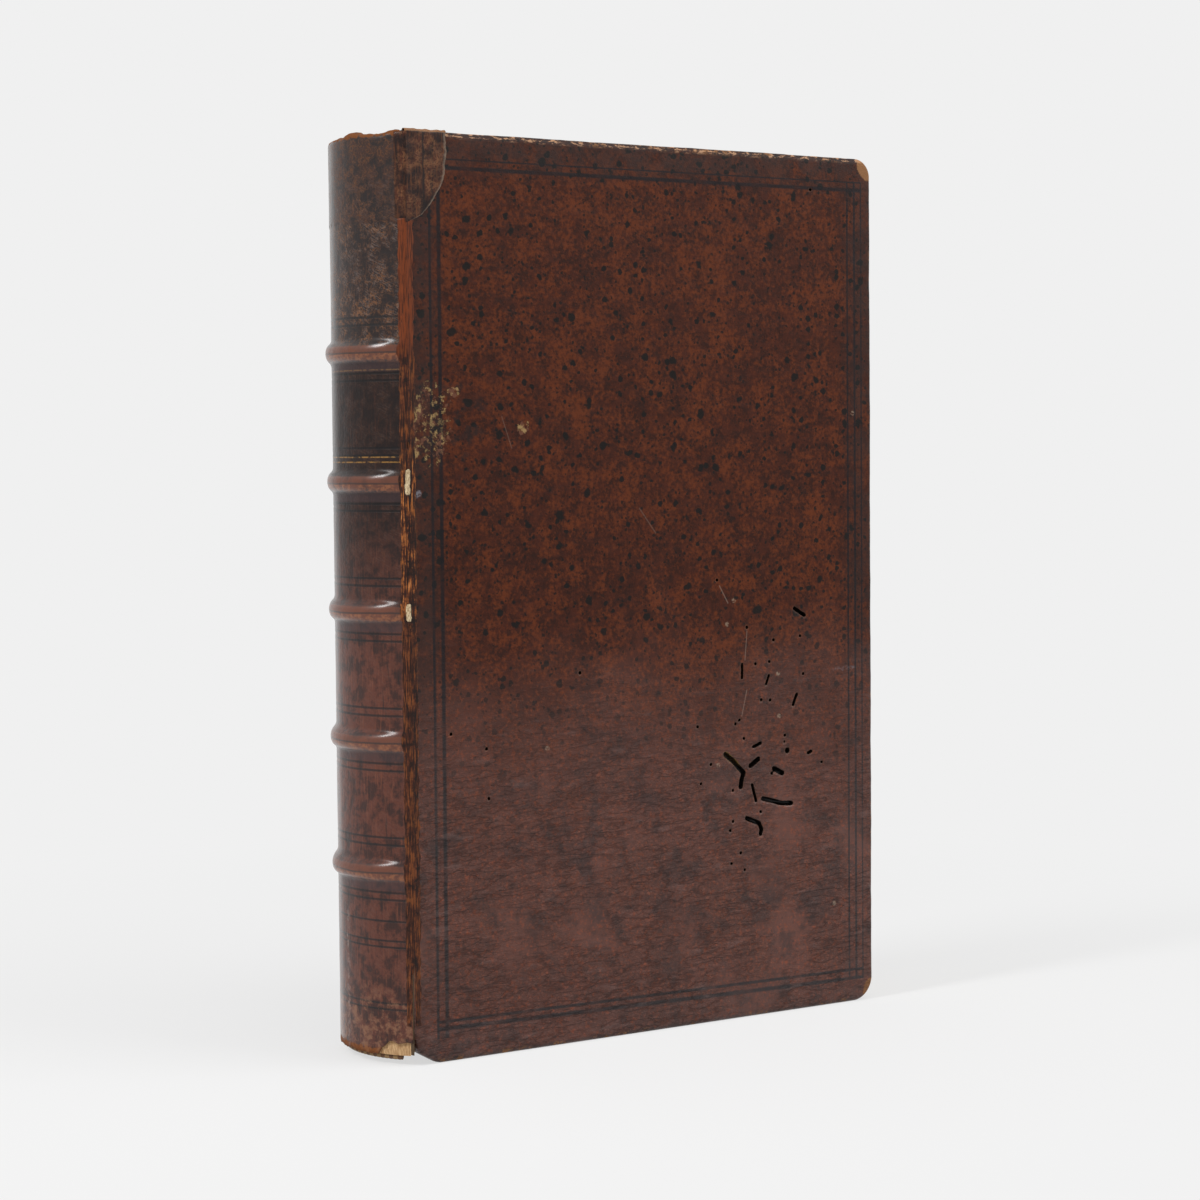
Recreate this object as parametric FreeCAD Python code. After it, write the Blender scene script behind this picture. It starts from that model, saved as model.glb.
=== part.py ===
import FreeCAD, Part
import math
import os

from FreeCAD import Vector

os.makedirs("parts", exist_ok=True)

# The book stands upright on its tail: spine at -X, fore-edge at +X, front cover at -Y,
# back cover at +Y, head at +Z. All sizes are in millimetres.

# Whole book
board_height = 320.0
cover_width = 204.0            # from the joint line to the fore-edge
book_thickness = 50.0          # over both covers
square = 4.0                   # how far the boards stand past the leaves

# Thicknesses of the layers
calf = 0.9                     # covering calf
pared_calf = 0.5               # calf pared thin where it is turned in
pasteboard = 3.4
paper = 0.25
lining = 0.55                  # paper and glue on the back, between the cords

# Clearances
running_gap = 0.35             # between a closed cover and the leaves
joint_gap = 0.3                # from the joint line to the board, and to the spine leather
fit = 0.05                     # between pieces glued or sewn together

# Rounded back and its raised bands
spine_stand_out = 10.0         # crown of the spine past the joint line
band_stand_out = 3.2           # crown of a band past the spine leather
band_count = 5
band_pitch = 44.5
first_band_height = 67.3
cord_radius = 2.65
ring_sides = 10                # flats round a cord or an endband
band_foot_radius = 2.0         # hollow where a band runs out into the panels
spine_tail = 2.7               # worn tail edge of the spine leather above the board's tail
fore_edge_hollow = 7.0         # rounding of the back, seen again as a hollow fore-edge

# Head of the spine
head_turn_in = 20.0            # height of calf doubled inside the head
doubled_calf = 0.6
cap_roll = 1.8                 # rounded outer corner of the head cap
cap_depth = 3.6                # how far the cap laps over the headband
headband_radius = 1.6
tailband_radius = 1.2
patch_drop = 31.0              # later leather over the head, down from the head edge
patch_step = 0.2

# Boards and their covering
turn_in_width = 16.0
mitre_gap = 0.3
outer_round = 1.6              # edge of the covering on the outside
inner_round = 0.7              # edge of the covering on the inside
front_head_corner = 7.0
front_tail_corner = 9.0
back_corner = 6.0
front_nip = [(0.0, 13.0), (2.4, 4.0), (10.0, 0.0)]   # worn tail corner at the joint
back_nip = [(0.0, 4.0), (4.0, 0.0)]

# Cord ends laced into the boards
slip_width = 7.0
slip_reach = 9.0
slip_depth = 1.2
lacing_hole = 4.6
fan_length = 12.0
fan_width = 12.0
fan_depth = 0.8

# Flap of the later head leather, lying on the front cover: (from joint, down from head)
lap_edge = [(16.1, 0.0), (16.3, 6.4), (15.3, 16.6), (10.9, 23.6), (6.1, 28.8), (0.0, 31.4)]
lap_proud = 0.3
lap_sunk = 0.3
lap_roll = 1.0                 # rolled edge of the flap along the head
lap_roll_rise = 0.6

# Worm damage low on the front cover: (from joint, above tail)
hole_size = 1.3
hole_depth = 3.4
hole_sides = 8                 # gnawed holes are not quite round
exit_holes = [
    (130.3, 163.0), (144.0, 145.0), (156.2, 140.0), (169.0, 141.0), (148.0, 131.5),
    (170.0, 126.5), (150.5, 118.0), (140.0, 111.0), (121.0, 109.7), (142.3, 104.0),
    (161.3, 103.8), (179.0, 92.8), (122.5, 88.7), (137.2, 85.0), (150.0, 76.3),
    (137.0, 72.0), (136.2, 58.0), (142.3, 55.2), (16.0, 113.8), (30.4, 107.7),
    (31.2, 90.3), (69.7, 132.2), (174.6, 307.0),
]
galleries = [                  # (start, end, width)
    ((166.2, 151.3), (170.9, 148.6), 1.5),
    ((141.6, 131.7), (141.5, 126.5), 1.2),
    ((167.1, 119.2), (165.3, 115.3), 1.3),
    ((146.8, 100.7), (150.0, 101.9), 1.3),
    ((145.4, 93.7), (148.9, 96.0), 2.0),
    ((156.3, 91.9), (160.1, 90.0), 2.0),
    ((146.0, 86.6), (147.8, 80.5), 1.3),
]
tears = [                      # points along the tear, width
    ([(133.7, 98.7), (140.1, 93.2), (142.2, 91.3), (140.7, 86.3)], 1.5),
    ([(151.0, 81.1), (159.2, 78.8), (164.3, 78.4)], 1.4),
    ([(143.4, 74.3), (149.1, 72.1), (149.8, 68.1)], 1.3),
]
# Calf lost at the tail of the spine: (from the middle towards the front, above tail)
tail_loss = [(26.0, 0.0), (26.0, 7.0), (23.4, 8.4), (20.6, 7.2), (18.0, 8.6), (15.4, 7.3),
             (13.2, 5.0), (14.0, 0.0)]

# Planes and radii worked out from the sizes above
joint_x = (spine_stand_out + band_stand_out - cover_width) / 2
fore_x = joint_x + cover_width
board_x = joint_x + joint_gap
spine_x = joint_x - joint_gap
outer_y = book_thickness / 2
board_out_y = outer_y - calf
board_in_y = board_out_y - pasteboard
turn_in_y = board_in_y - pared_calf
cover_in_y = turn_in_y - paper
leaf_y = cover_in_y - running_gap
block_y = leaf_y - paper - fit
spine_y = outer_y - joint_gap
leaf_fore_x = fore_x - square
leaf_head = board_height - square
shoulder_x = spine_x - fit
window_x = fore_x - turn_in_width


def round_back_radius(depth):
    return (depth ** 2 + spine_y ** 2) / (2 * depth)


# The panels and the bands are both arcs ending at the joints; the bands' arc is rounder.
panel_r = round_back_radius(spine_stand_out - joint_gap)
panel_axis_x = joint_x - spine_stand_out + panel_r
band_r = round_back_radius(spine_stand_out + band_stand_out - joint_gap)
band_axis_x = joint_x - spine_stand_out - band_stand_out + band_r
crest_radius = cord_radius + fit + calf
cord_r = band_r - crest_radius
lining_out_r = panel_r - calf - fit
block_r = lining_out_r - lining - fit
band_heights = [first_band_height + i * band_pitch for i in range(band_count)]


def box(x0, x1, y0, y1, z0, z1):
    return Part.makeBox(x1 - x0, y1 - y0, z1 - z0, Vector(x0, y0, z0))


def plate(points, y0, y1):
    """Upright plate: an outline of (x, z) points between two planes of y."""
    wire = Part.makePolygon([Vector(x, y0, z) for x, z in points + points[:1]])
    return Part.Face(wire).extrude(Vector(0, y1 - y0, 0))


def upright_cylinder(axis_x, radius, z0, z1):
    return Part.makeCylinder(radius, z1 - z0, Vector(axis_x, 0, z0))


def turned(points, axis_x):
    """Ring turned about an upright axis from an outline of (radius, z) points or edges."""
    face = Part.Face(Part.Wire(points))
    face.translate(Vector(axis_x, 0, 0))
    return face.revolve(Vector(axis_x, 0, 0), Vector(0, 0, 1), 360)


def polyline(points):
    ends = [Vector(-r, 0, z) for r, z in points]
    return [Part.makeLine(a, b) for a, b in zip(ends, ends[1:])]


def arc(a, middle, b):
    return Part.Arc(*[Vector(-r, 0, z) for r, z in (a, middle, b)]).toShape()


def ring(radius, centre_r, height, axis_x):
    """Bar bent round an upright axis, with ring_sides flats inside the given radius."""
    step = 2 * math.pi / ring_sides
    corners = []
    for i in range(ring_sides + 1):
        turn = (i + 0.5) * step
        corners.append((centre_r + radius * math.cos(turn), height + radius * math.sin(turn)))
    return turned(polyline(corners), axis_x)


def spine_side(shape, limit_x, limit_y):
    """The part of a ring that lies on the back of the book."""
    reach = spine_stand_out + band_stand_out + calf
    keep = box(joint_x - reach, limit_x, -limit_y, limit_y, 0, board_height + lap_roll)
    return shape.common(keep)


def gnawed(start, end, width, y0, y1):
    """Hole or slot between two points of the cover, cut straight in, with blunt ends."""
    heading = math.atan2(end[1] - start[1], end[0] - start[0])
    step = 2 * math.pi / hole_sides
    corners = []
    for i in range(hole_sides):
        turn = (i + 0.5) * step - math.pi / 2
        x, z = end if i < hole_sides / 2 else start
        corners.append((joint_x + x + width / 2 * math.cos(heading + turn),
                        z + width / 2 * math.sin(heading + turn)))
    return plate(corners, y0, y1)


def text_block():
    """Sewn leaves: hollow fore-edge, flat sides, shoulders and rounded back."""
    shoulder_y = math.sqrt(block_r ** 2 - (panel_axis_x - shoulder_x) ** 2)

    def at(x, y):
        return Vector(x, y, square)

    outline = [
        Part.Arc(at(leaf_fore_x, -block_y), at(leaf_fore_x - fore_edge_hollow, 0),
                 at(leaf_fore_x, block_y)).toShape(),
        Part.makeLine(at(leaf_fore_x, block_y), at(shoulder_x, block_y)),
        Part.makeLine(at(shoulder_x, block_y), at(shoulder_x, shoulder_y)),
        Part.Arc(at(shoulder_x, shoulder_y), at(panel_axis_x - block_r, 0),
                 at(shoulder_x, -shoulder_y)).toShape(),
        Part.makeLine(at(shoulder_x, -shoulder_y), at(shoulder_x, -block_y)),
        Part.makeLine(at(shoulder_x, -block_y), at(leaf_fore_x, -block_y)),
    ]
    return Part.Face(Part.Wire(outline)).extrude(Vector(0, 0, leaf_head - square))


def flyleaf():
    return box(shoulder_x + fit, leaf_fore_x, -leaf_y, -leaf_y + paper, square, leaf_head)


def sewing_cord(height):
    """Raised cord over the back of the leaves, bedded on the rounded back."""
    cord = ring(cord_radius, cord_r, height, band_axis_x)
    bed = upright_cylinder(panel_axis_x, block_r + fit, height - crest_radius,
                           height + crest_radius)
    return spine_side(cord.cut(bed), shoulder_x, spine_y)


def spine_linings():
    """Strips glued to the back between the cords, one to a panel."""
    gap = cord_radius + joint_gap
    starts = [spine_tail + calf] + [z + gap for z in band_heights]
    ends = [z - gap for z in band_heights] + [board_height - head_turn_in - joint_gap]
    strips = []
    for z0, z1 in zip(starts, ends):
        strip = upright_cylinder(panel_axis_x, lining_out_r, z0, z1)
        strip = strip.cut(upright_cylinder(panel_axis_x, block_r + fit, z0, z1))
        strips.append(spine_side(strip, shoulder_x, spine_y))
    return Part.makeCompound(strips)


def endband(radius, height):
    centre_r = panel_r - calf - doubled_calf - fit - radius
    return spine_side(ring(radius, centre_r, height, panel_axis_x), shoulder_x, spine_y)


def spine_skin():
    """Calf over the panels, turned in at the head and curled over the headband."""
    inner_r = panel_r - calf
    turned_r = inner_r - doubled_calf
    cap_under = leaf_head + 2 * headband_radius + 2 * fit
    patch_z = board_height - patch_drop
    head_r = panel_r + patch_step
    half = math.sqrt(0.5)
    corner = (head_r - cap_roll * (1 - half), board_height - cap_roll * (1 - half))
    outline = polyline([
        (inner_r, spine_tail), (panel_r, spine_tail), (panel_r, patch_z),
        (head_r, patch_z + patch_step), (head_r, board_height - cap_roll),
    ])
    outline.append(arc((head_r, board_height - cap_roll), corner,
                       (head_r - cap_roll, board_height)))
    outline += polyline([
        (head_r - cap_roll, board_height), (panel_r - cap_depth, board_height),
        (panel_r - cap_depth, cap_under), (turned_r, cap_under),
        (turned_r, board_height - head_turn_in), (inner_r, board_height - head_turn_in),
        (inner_r, spine_tail),
    ])
    return turned(outline, panel_axis_x)


def raised_band(height):
    """Calf moulded over one cord: round crest, hollow feet on both sides."""
    surface_r = band_r - band_stand_out - fit
    reach = crest_radius + band_foot_radius
    rise = surface_r + band_foot_radius - cord_r
    foot = math.sqrt(reach ** 2 - rise ** 2)
    share = crest_radius / reach
    touch_r = cord_r + rise * share
    touch_z = foot * share
    tilt = (math.pi / 2 + math.atan2(rise, foot)) / 2
    mid_r = surface_r + band_foot_radius * (1 - math.sin(tilt))
    mid_z = foot - band_foot_radius * math.cos(tilt)
    under_r = surface_r - band_foot_radius

    def at(r, z):
        return (r, height + z)

    outline = polyline([at(under_r, -foot), at(surface_r, -foot)])
    outline.append(arc(at(surface_r, -foot), at(mid_r, -mid_z), at(touch_r, -touch_z)))
    outline.append(arc(at(touch_r, -touch_z), at(band_r, 0), at(touch_r, touch_z)))
    outline.append(arc(at(touch_r, touch_z), at(mid_r, mid_z), at(surface_r, foot)))
    outline += polyline([at(surface_r, foot), at(under_r, foot), at(under_r, -foot)])
    inside = upright_cylinder(panel_axis_x, panel_r - calf / 2, 0, board_height)
    return turned(outline, band_axis_x).cut(inside)


def spine_leather():
    skin = spine_skin()
    for height in band_heights:
        skin = skin.fuse(raised_band(height))
    tunnels = [ring(cord_radius + fit, cord_r, z, band_axis_x) for z in band_heights]
    skin = skin.cut(tunnels)
    skin = spine_side(skin, spine_x, spine_y)
    loss = Part.makePolygon([Vector(joint_x, -y, z) for y, z in tail_loss + tail_loss[:1]])
    skin = skin.cut(Part.Face(loss).extrude(Vector(-2 * spine_stand_out, 0, 0)))
    return skin.removeSplitter()


def cover_outline(head_corner, tail_corner, nip, spine_edge):
    """Outline of a cover in the plane y = 0, fore corners rounded, tail corner nipped."""
    def at(x, z):
        return Vector(x, 0, z)

    def quarter(cx, cz, radius, up):
        half = radius * math.sqrt(0.5)
        ends = at(cx + radius, cz), at(cx + half, cz + up * half), at(cx, cz + up * radius)
        return Part.Arc(*ends).toShape()

    tail_z = tail_corner
    head_z = board_height - head_corner
    worn = [at(spine_edge + x, z) for x, z in nip]
    edges = [Part.makeLine(a, b) for a, b in zip(worn, worn[1:])]
    edges.append(Part.makeLine(worn[-1], at(fore_x - tail_corner, 0)))
    edges.append(quarter(fore_x - tail_corner, tail_z, tail_corner, -1))
    edges.append(Part.makeLine(at(fore_x, tail_z), at(fore_x, head_z)))
    edges.append(quarter(fore_x - head_corner, head_z, head_corner, 1))
    edges.append(Part.makeLine(at(fore_x - head_corner, board_height),
                               at(spine_edge, board_height)))
    edges.append(Part.makeLine(at(spine_edge, board_height), worn[0]))
    return Part.Face(Part.Wire(Part.__sortEdges__(edges)))


def slab(face, y0, y1):
    copy = face.copy()
    copy.translate(Vector(0, y0, 0))
    return copy.extrude(Vector(0, y1 - y0, 0))


def rim(shape, y):
    """Edges of a cover in one plane of y, apart from the one along the joint."""
    chosen = []
    for edge in shape.Edges:
        bounds = edge.BoundBox
        flat = abs(bounds.YMin - y) < fit and abs(bounds.YMax - y) < fit
        if flat and bounds.XMax > board_x + fit:
            chosen.append(edge)
    return chosen


def cord_slip(height, play):
    """Cord end laced in: along a channel, through the board, and fanned out inside."""
    half = slip_width / 2 + play
    hole_x = board_x + slip_reach
    channel = box(board_x, hole_x, -board_out_y, -board_out_y + slip_depth + play,
                  height - half, height + half)
    hole = Part.makeCylinder(lacing_hole / 2 + play, pasteboard,
                             Vector(hole_x, -board_out_y, height), Vector(0, 1, 0))
    near = lacing_hole / 2 + play
    far = fan_width / 2 + play
    end_x = hole_x + fan_length + play
    fan = plate([(hole_x, height - near), (end_x, height - far), (end_x, height + far),
                 (hole_x, height + near)], -board_in_y - fan_depth - play, -board_in_y)
    return channel.fuse([hole, fan]).removeSplitter()


def worm_damage(depth):
    y0 = -outer_y - calf
    y1 = -outer_y + depth
    cuts = [gnawed(place, place, hole_size, y0, y1) for place in exit_holes]
    cuts += [gnawed(start, end, width, y0, y1) for start, end, width in galleries]
    for points, width in tears:
        cuts += [gnawed(start, end, width, y0, y1) for start, end in zip(points, points[1:])]
    return cuts


def head_lap():
    """Torn flap of the later head leather, rolled at the head edge."""
    points = [(joint_x + x, board_height - z) for x, z in lap_edge]
    points[-1] = (board_x, points[-1][1])
    points.append((board_x, board_height))
    tongue = plate(points, -outer_y - lap_proud, -outer_y + lap_sunk)
    length = points[0][0] - board_x
    roll = Part.makeCylinder(
        lap_roll, length,
        Vector(board_x, -outer_y - lap_proud + lap_roll, board_height + lap_roll_rise - lap_roll),
        Vector(1, 0, 0))
    corner = box(board_x, fore_x, -outer_y - lap_proud, -outer_y - lap_proud + lap_roll,
                 board_height + lap_roll_rise - lap_roll, board_height + lap_roll)
    return tongue.cut(corner).fuse(roll).removeSplitter()


def pasteboard_board(outline_args):
    """Board under the calf: set in by the calf on three sides, level with it at the joint."""
    outline = cover_outline(*outline_args, board_x - calf)
    board = slab(outline.makeOffset2D(-calf), -board_out_y, -board_in_y)
    return board.cut([cord_slip(z, fit) for z in band_heights])


def cover_leather(outline_args):
    """Calf over the outside of a board, round its three free edges and turned in."""
    envelope = slab(cover_outline(*outline_args, board_x), -outer_y, -turn_in_y)
    envelope = envelope.makeFillet(outer_round, rim(envelope, -outer_y))
    envelope = envelope.makeFillet(inner_round, rim(envelope, -turn_in_y))
    filling = cover_outline(*outline_args, board_x - calf).makeOffset2D(-calf)
    hollow = slab(filling, -board_out_y, -board_in_y)
    window = box(board_x - calf, window_x, -board_in_y, -turn_in_y,
                 turn_in_width, board_height - turn_in_width)
    leather = envelope.cut([hollow, window])
    for corner_z, turn in ((turn_in_width, 45), (board_height - turn_in_width, -45)):
        groove = box(-mitre_gap, 2 * turn_in_width, -board_in_y, -turn_in_y,
                     -mitre_gap / 2, mitre_gap / 2)
        groove.rotate(Vector(0, 0, 0), Vector(0, 1, 0), turn)
        groove.translate(Vector(window_x, 0, corner_z))
        leather = leather.cut(groove)
    return leather


def pastedown():
    """Leaf pasted inside the board; it dips into the window between the turn-ins."""
    full = box(board_x, leaf_fore_x, -turn_in_y, -cover_in_y, square, leaf_head)
    low = turn_in_width + fit
    high = board_height - turn_in_width - fit
    dip = box(board_x, window_x - fit, -board_in_y, -cover_in_y, low, high)
    pocket = box(board_x - calf, window_x - fit - paper, -board_in_y + paper, -cover_in_y,
                 low + paper, high - paper)
    return full.fuse(dip).cut(pocket).removeSplitter()


def to_back(shape):
    return shape.mirror(Vector(0, 0, 0), Vector(0, 1, 0))


def export(name, shape):
    shape.exportStep("parts/" + name + ".step")


front = (front_head_corner, front_tail_corner, front_nip)
back = (back_corner, back_corner, back_nip)
lap = head_lap()
slips = Part.makeCompound([cord_slip(z, 0.0) for z in band_heights])

# Leaves, sewing and spine, which the two covers turn on
export("text_block", text_block())
export("front_flyleaf", flyleaf())
export("back_flyleaf", to_back(flyleaf()))
for number, height in enumerate(band_heights, 1):
    export("sewing_cord_" + str(number), sewing_cord(height))
export("spine_linings", spine_linings())
export("headband", endband(headband_radius, leaf_head + fit + headband_radius))
export("tailband", endband(tailband_radius, square - fit - tailband_radius))
export("spine_leather", spine_leather())

# Front cover, with the worm damage and the flap of the later head leather
export("front_board", pasteboard_board(front).cut([lap] + worm_damage(hole_depth)))
export("front_cover_leather", cover_leather(front).cut([lap] + worm_damage(calf + fit)))
export("front_cord_slips", slips)
export("front_pastedown", pastedown())
export("head_lap", lap)

# Back cover
export("back_board", to_back(pasteboard_board(back)))
export("back_cover_leather", to_back(cover_leather(back)))
export("back_cord_slips", to_back(slips))
export("back_pastedown", to_back(pastedown()))
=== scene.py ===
# %% [markdown]
# # Antique book in sprinkled calf
#
# A small folio about three hundred years old stands on its tail. One skin of brown calf covers both
# boards and the rounded back, over five raised cords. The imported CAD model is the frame: it holds
# every solid, and the two joints that the covers turn on. This lesson dresses it.

# %% Load the frame
import math

import bmesh
import bpy
import numpy as np
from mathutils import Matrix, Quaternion, Vector, noise


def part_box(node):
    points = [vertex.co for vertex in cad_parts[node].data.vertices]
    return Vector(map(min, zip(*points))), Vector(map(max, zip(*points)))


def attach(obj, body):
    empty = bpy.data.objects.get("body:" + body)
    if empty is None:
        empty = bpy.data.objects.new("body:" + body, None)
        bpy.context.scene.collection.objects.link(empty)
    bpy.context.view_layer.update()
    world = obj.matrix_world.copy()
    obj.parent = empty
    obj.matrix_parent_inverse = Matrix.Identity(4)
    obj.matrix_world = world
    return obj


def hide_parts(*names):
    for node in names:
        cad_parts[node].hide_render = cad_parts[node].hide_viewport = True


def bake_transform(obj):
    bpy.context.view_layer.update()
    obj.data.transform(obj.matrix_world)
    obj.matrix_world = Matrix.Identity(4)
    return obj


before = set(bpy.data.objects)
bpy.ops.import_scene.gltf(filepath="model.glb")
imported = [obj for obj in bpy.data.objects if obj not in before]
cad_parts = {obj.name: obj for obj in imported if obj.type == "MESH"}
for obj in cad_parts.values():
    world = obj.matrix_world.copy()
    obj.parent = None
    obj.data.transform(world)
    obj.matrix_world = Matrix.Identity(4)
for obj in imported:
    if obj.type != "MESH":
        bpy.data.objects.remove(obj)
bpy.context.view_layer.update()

# %% [markdown]
# ## Camera
#
# The photograph was taken from the front and left, a little above the middle, with a lens that
# hardly converges. An 85 mm lens at about a metre gives the same slope to the edges. The camera
# could be placed by eye, but a direction and a distance from the middle of the book say it exactly.

# %% Camera
azimuth = math.radians(-34.14)
elevation = math.radians(3.12)
roll = math.radians(-0.49)
distance = 1.0385
target = Vector((0, 0, 0.1561))
away = Vector((math.sin(azimuth) * math.cos(elevation),
               -math.cos(azimuth) * math.cos(elevation), math.sin(elevation)))
camera = bpy.data.objects.new("camera", bpy.data.cameras.new("camera"))
camera.data.lens = 85
camera.data.sensor_width = 36
camera.location = target + away * distance
camera.rotation_mode = "QUATERNION"
camera.rotation_quaternion = away.to_track_quat("Z", "Y") @ Quaternion((0, 0, 1), roll)
bpy.context.scene.collection.objects.link(camera)
bpy.context.scene.camera = camera
bpy.context.scene.view_settings.view_transform = "Standard"
print("camera at", [round(c, 3) for c in camera.location])

# %% [markdown]
# ## Writing shaders as sums
#
# A finish on old leather is a sum of masks: where it is rubbed, where it is dark, where it is torn.
# Nodes can be placed and linked one by one, but then the sum is hard to read. Here one small class
# wraps a node's output and gives it Python's operators, so that `1 - mask` adds a Math node. A
# second class is the material itself, whose colour is covered layer by layer.

# %% A socket that does maths
MM = 1000.0      # millimetres in a metre


class Value:
    """An output socket of a node tree. Maths on it adds Math nodes. Lengths are in millimetres."""

    def __init__(self, tree, socket):
        self.tree = tree
        self.socket = socket

    def math(self, operation, *others):
        return self.tree.node("ShaderNodeMath", {"operation": operation}, [self, *others])

    def __add__(self, other):
        return self.math("ADD", other)

    def __sub__(self, other):
        return self.math("SUBTRACT", other)

    def __mul__(self, other):
        return self.math("MULTIPLY", other)

    def __truediv__(self, other):
        return self.math("DIVIDE", other)

    def __rsub__(self, other):
        return self.tree.node("ShaderNodeMath", {"operation": "SUBTRACT"}, [other, self])

    __radd__ = __add__
    __rmul__ = __mul__

    def distance(self):
        return self.math("ABSOLUTE")

    def at_most(self, other):
        return self.math("MINIMUM", other)

    def at_least(self, other):
        return self.math("MAXIMUM", other)

    def ramp(self, low, high):
        """0 at low and 1 at high, with a soft start and end; low may be the larger."""
        settings = {"interpolation_type": "SMOOTHSTEP"}
        return self.tree.node("ShaderNodeMapRange", settings, [self, low, high, 0.0, 1.0])

    def between(self, low, high, soft):
        """1 from low to high, fading out over soft at both ends."""
        return self.ramp(low - soft, low) * self.ramp(high + soft, high)

    def line(self, at, width, core=0.35):
        """1 in a thin line where the value passes a place; core is the share that is full."""
        return (self - at).distance().ramp(width, width * core)

    def split(self):
        """The x, y and z of a vector."""
        x = self.tree.node("ShaderNodeSeparateXYZ", {}, [self])
        return [Value(self.tree, socket) for socket in x.socket.node.outputs]

    def noise(self, size, detail=3.0, roughness=0.55, output=0):
        """Soft noise from 0 to 1, with patches about size across."""
        inputs = {"Vector": self, "Scale": 1 / size, "Detail": detail, "Roughness": roughness}
        return self.tree.node("ShaderNodeTexNoise", {}, inputs, output)

    def cells(self, size, feature="F1", output="Distance"):
        """Distance in cells of about size, or the colour that each cell has."""
        inputs = {"Vector": self, "Scale": 1 / size}
        return self.tree.node("ShaderNodeTexVoronoi", {"feature": feature}, inputs, output)

    def stir(self, size, amount):
        """The vector pushed about by noise, so that edges that follow it wander."""
        push = self.noise(size, 3.0, 0.5, "Color")
        centred = self.tree.vector_math("SUBTRACT", [push, (0.5, 0.5, 0.5)])
        scaled = self.tree.vector_math("SCALE", {0: centred, "Scale": amount})
        return self.tree.vector_math("ADD", [self, scaled])


def join(x, y, z):
    """One vector of three values; y and z may be plain numbers."""
    return x.tree.node("ShaderNodeCombineXYZ", {}, [x, y, z])


def streaked(x, y, z, detail=5.0, roughness=0.65):
    """Noise with patches of size 1 in coordinates that are stretched already."""
    return join(x, y, z).noise(1.0, detail, roughness)


def brightest(masks):
    total = masks[0]
    for mask in masks[1:]:
        total = total.at_least(mask)
    return total


def paint(red, green, blue):
    """A colour as a screen shows it, from 0 to 255, as the linear colour that a shader takes."""
    shares = [c / 255 for c in (red, green, blue)]
    return [s / 12.92 if s < 0.04045 else ((s + 0.055) / 1.055) ** 2.4 for s in shares] + [1.0]


print("sockets ready")

# %% Node trees and finishes
class Tree:
    """A node tree whose nodes are made by calls."""

    def __init__(self, node_tree):
        self.nodes = node_tree.nodes
        self.links = node_tree.links

    def node(self, kind, settings, inputs, output=0):
        """Any node: its settings are set first, then its inputs, by place or by name."""
        node = self.nodes.new(kind)
        for name, value in settings.items():
            setattr(node, name, value)
        pairs = inputs.items() if isinstance(inputs, dict) else enumerate(inputs)
        for place, value in pairs:
            if isinstance(value, Value):
                self.links.new(value.socket, node.inputs[place])
            else:
                node.inputs[place].default_value = value
        return Value(self, node.outputs[output])

    def vector_math(self, operation, inputs):
        return self.node("ShaderNodeVectorMath", {"operation": operation}, inputs)

    def seen_rays(self):
        """1 on rays that the camera sends, also where they are mirrored or pass through."""
        rays = self.node("ShaderNodeLightPath", {}, [], "Is Camera Ray")
        outputs = rays.socket.node.outputs
        for name in ("Is Glossy Ray", "Is Transmission Ray"):
            rays = rays.at_least(Value(self, outputs[name]))
        return rays


class Finish(Tree):
    """A material. Its colour starts plain and is covered layer by layer."""

    def __init__(self, name, colour, roughness=0.5, specular=0.3, coat_roughness=0.3):
        self.material = bpy.data.materials.new(name)
        self.material.use_nodes = True
        super().__init__(self.material.node_tree)
        self.colour = paint(*colour)
        self.shader = self.nodes["Principled BSDF"]
        self.shader.inputs["Roughness"].default_value = roughness
        self.shader.inputs["Specular IOR Level"].default_value = specular
        self.shader.inputs["Coat Roughness"].default_value = coat_roughness
        self.bumps = None

    def place(self):
        """Object coordinates in millimetres, as one vector and as x, y and z."""
        metres = self.node("ShaderNodeTexCoord", {}, [], "Object")
        vector = self.vector_math("SCALE", {0: metres, "Scale": MM})
        return vector, *vector.split()

    def attribute(self, name):
        return self.node("ShaderNodeAttribute", {"attribute_name": name}, [], "Fac")

    def mix(self, under, over, factor):
        settings = {"data_type": "RGBA", "clamp_factor": True}
        return self.node("ShaderNodeMix", settings, {0: factor, 6: under, 7: over}, 2)

    def cover(self, colour, mask):
        """Covers the colour so far by another, painted or mixed, as far as the mask says."""
        over = colour if isinstance(colour, Value) else paint(*colour)
        self.colour = self.mix(self.colour, over, mask)

    def link(self, name, value):
        self.links.new(value.socket, self.shader.inputs[name])

    def surface(self, roughness, coat=None):
        """Links the colour, the roughness and the weight of a glossy coat."""
        self.link("Base Color", self.colour)
        self.link("Roughness", roughness)
        if coat:
            self.link("Coat Weight", coat)

    def relief(self, height, depth):
        """Adds a bump whose height, from 0 to 1, stands for depth in millimetres."""
        inputs = {"Height": height, "Distance": depth / MM, "Strength": 1.0}
        if self.bumps:
            inputs["Normal"] = self.bumps
        self.bumps = self.node("ShaderNodeBump", {}, inputs)
        self.link("Normal", self.bumps)


print("finishes ready")

# %% [markdown]
# ## Floor, backdrop and light
#
# The book stands in a white studio sweep, with soft light from the right and above and a pale
# window of light on its left, which the bands catch. The floor and the world are pale by their own
# colour where the camera looks at them; near the book the floor is a matt surface that takes its
# soft shadow. The lamps stay at a plain level, so that a colour renders about as it is written.

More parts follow.
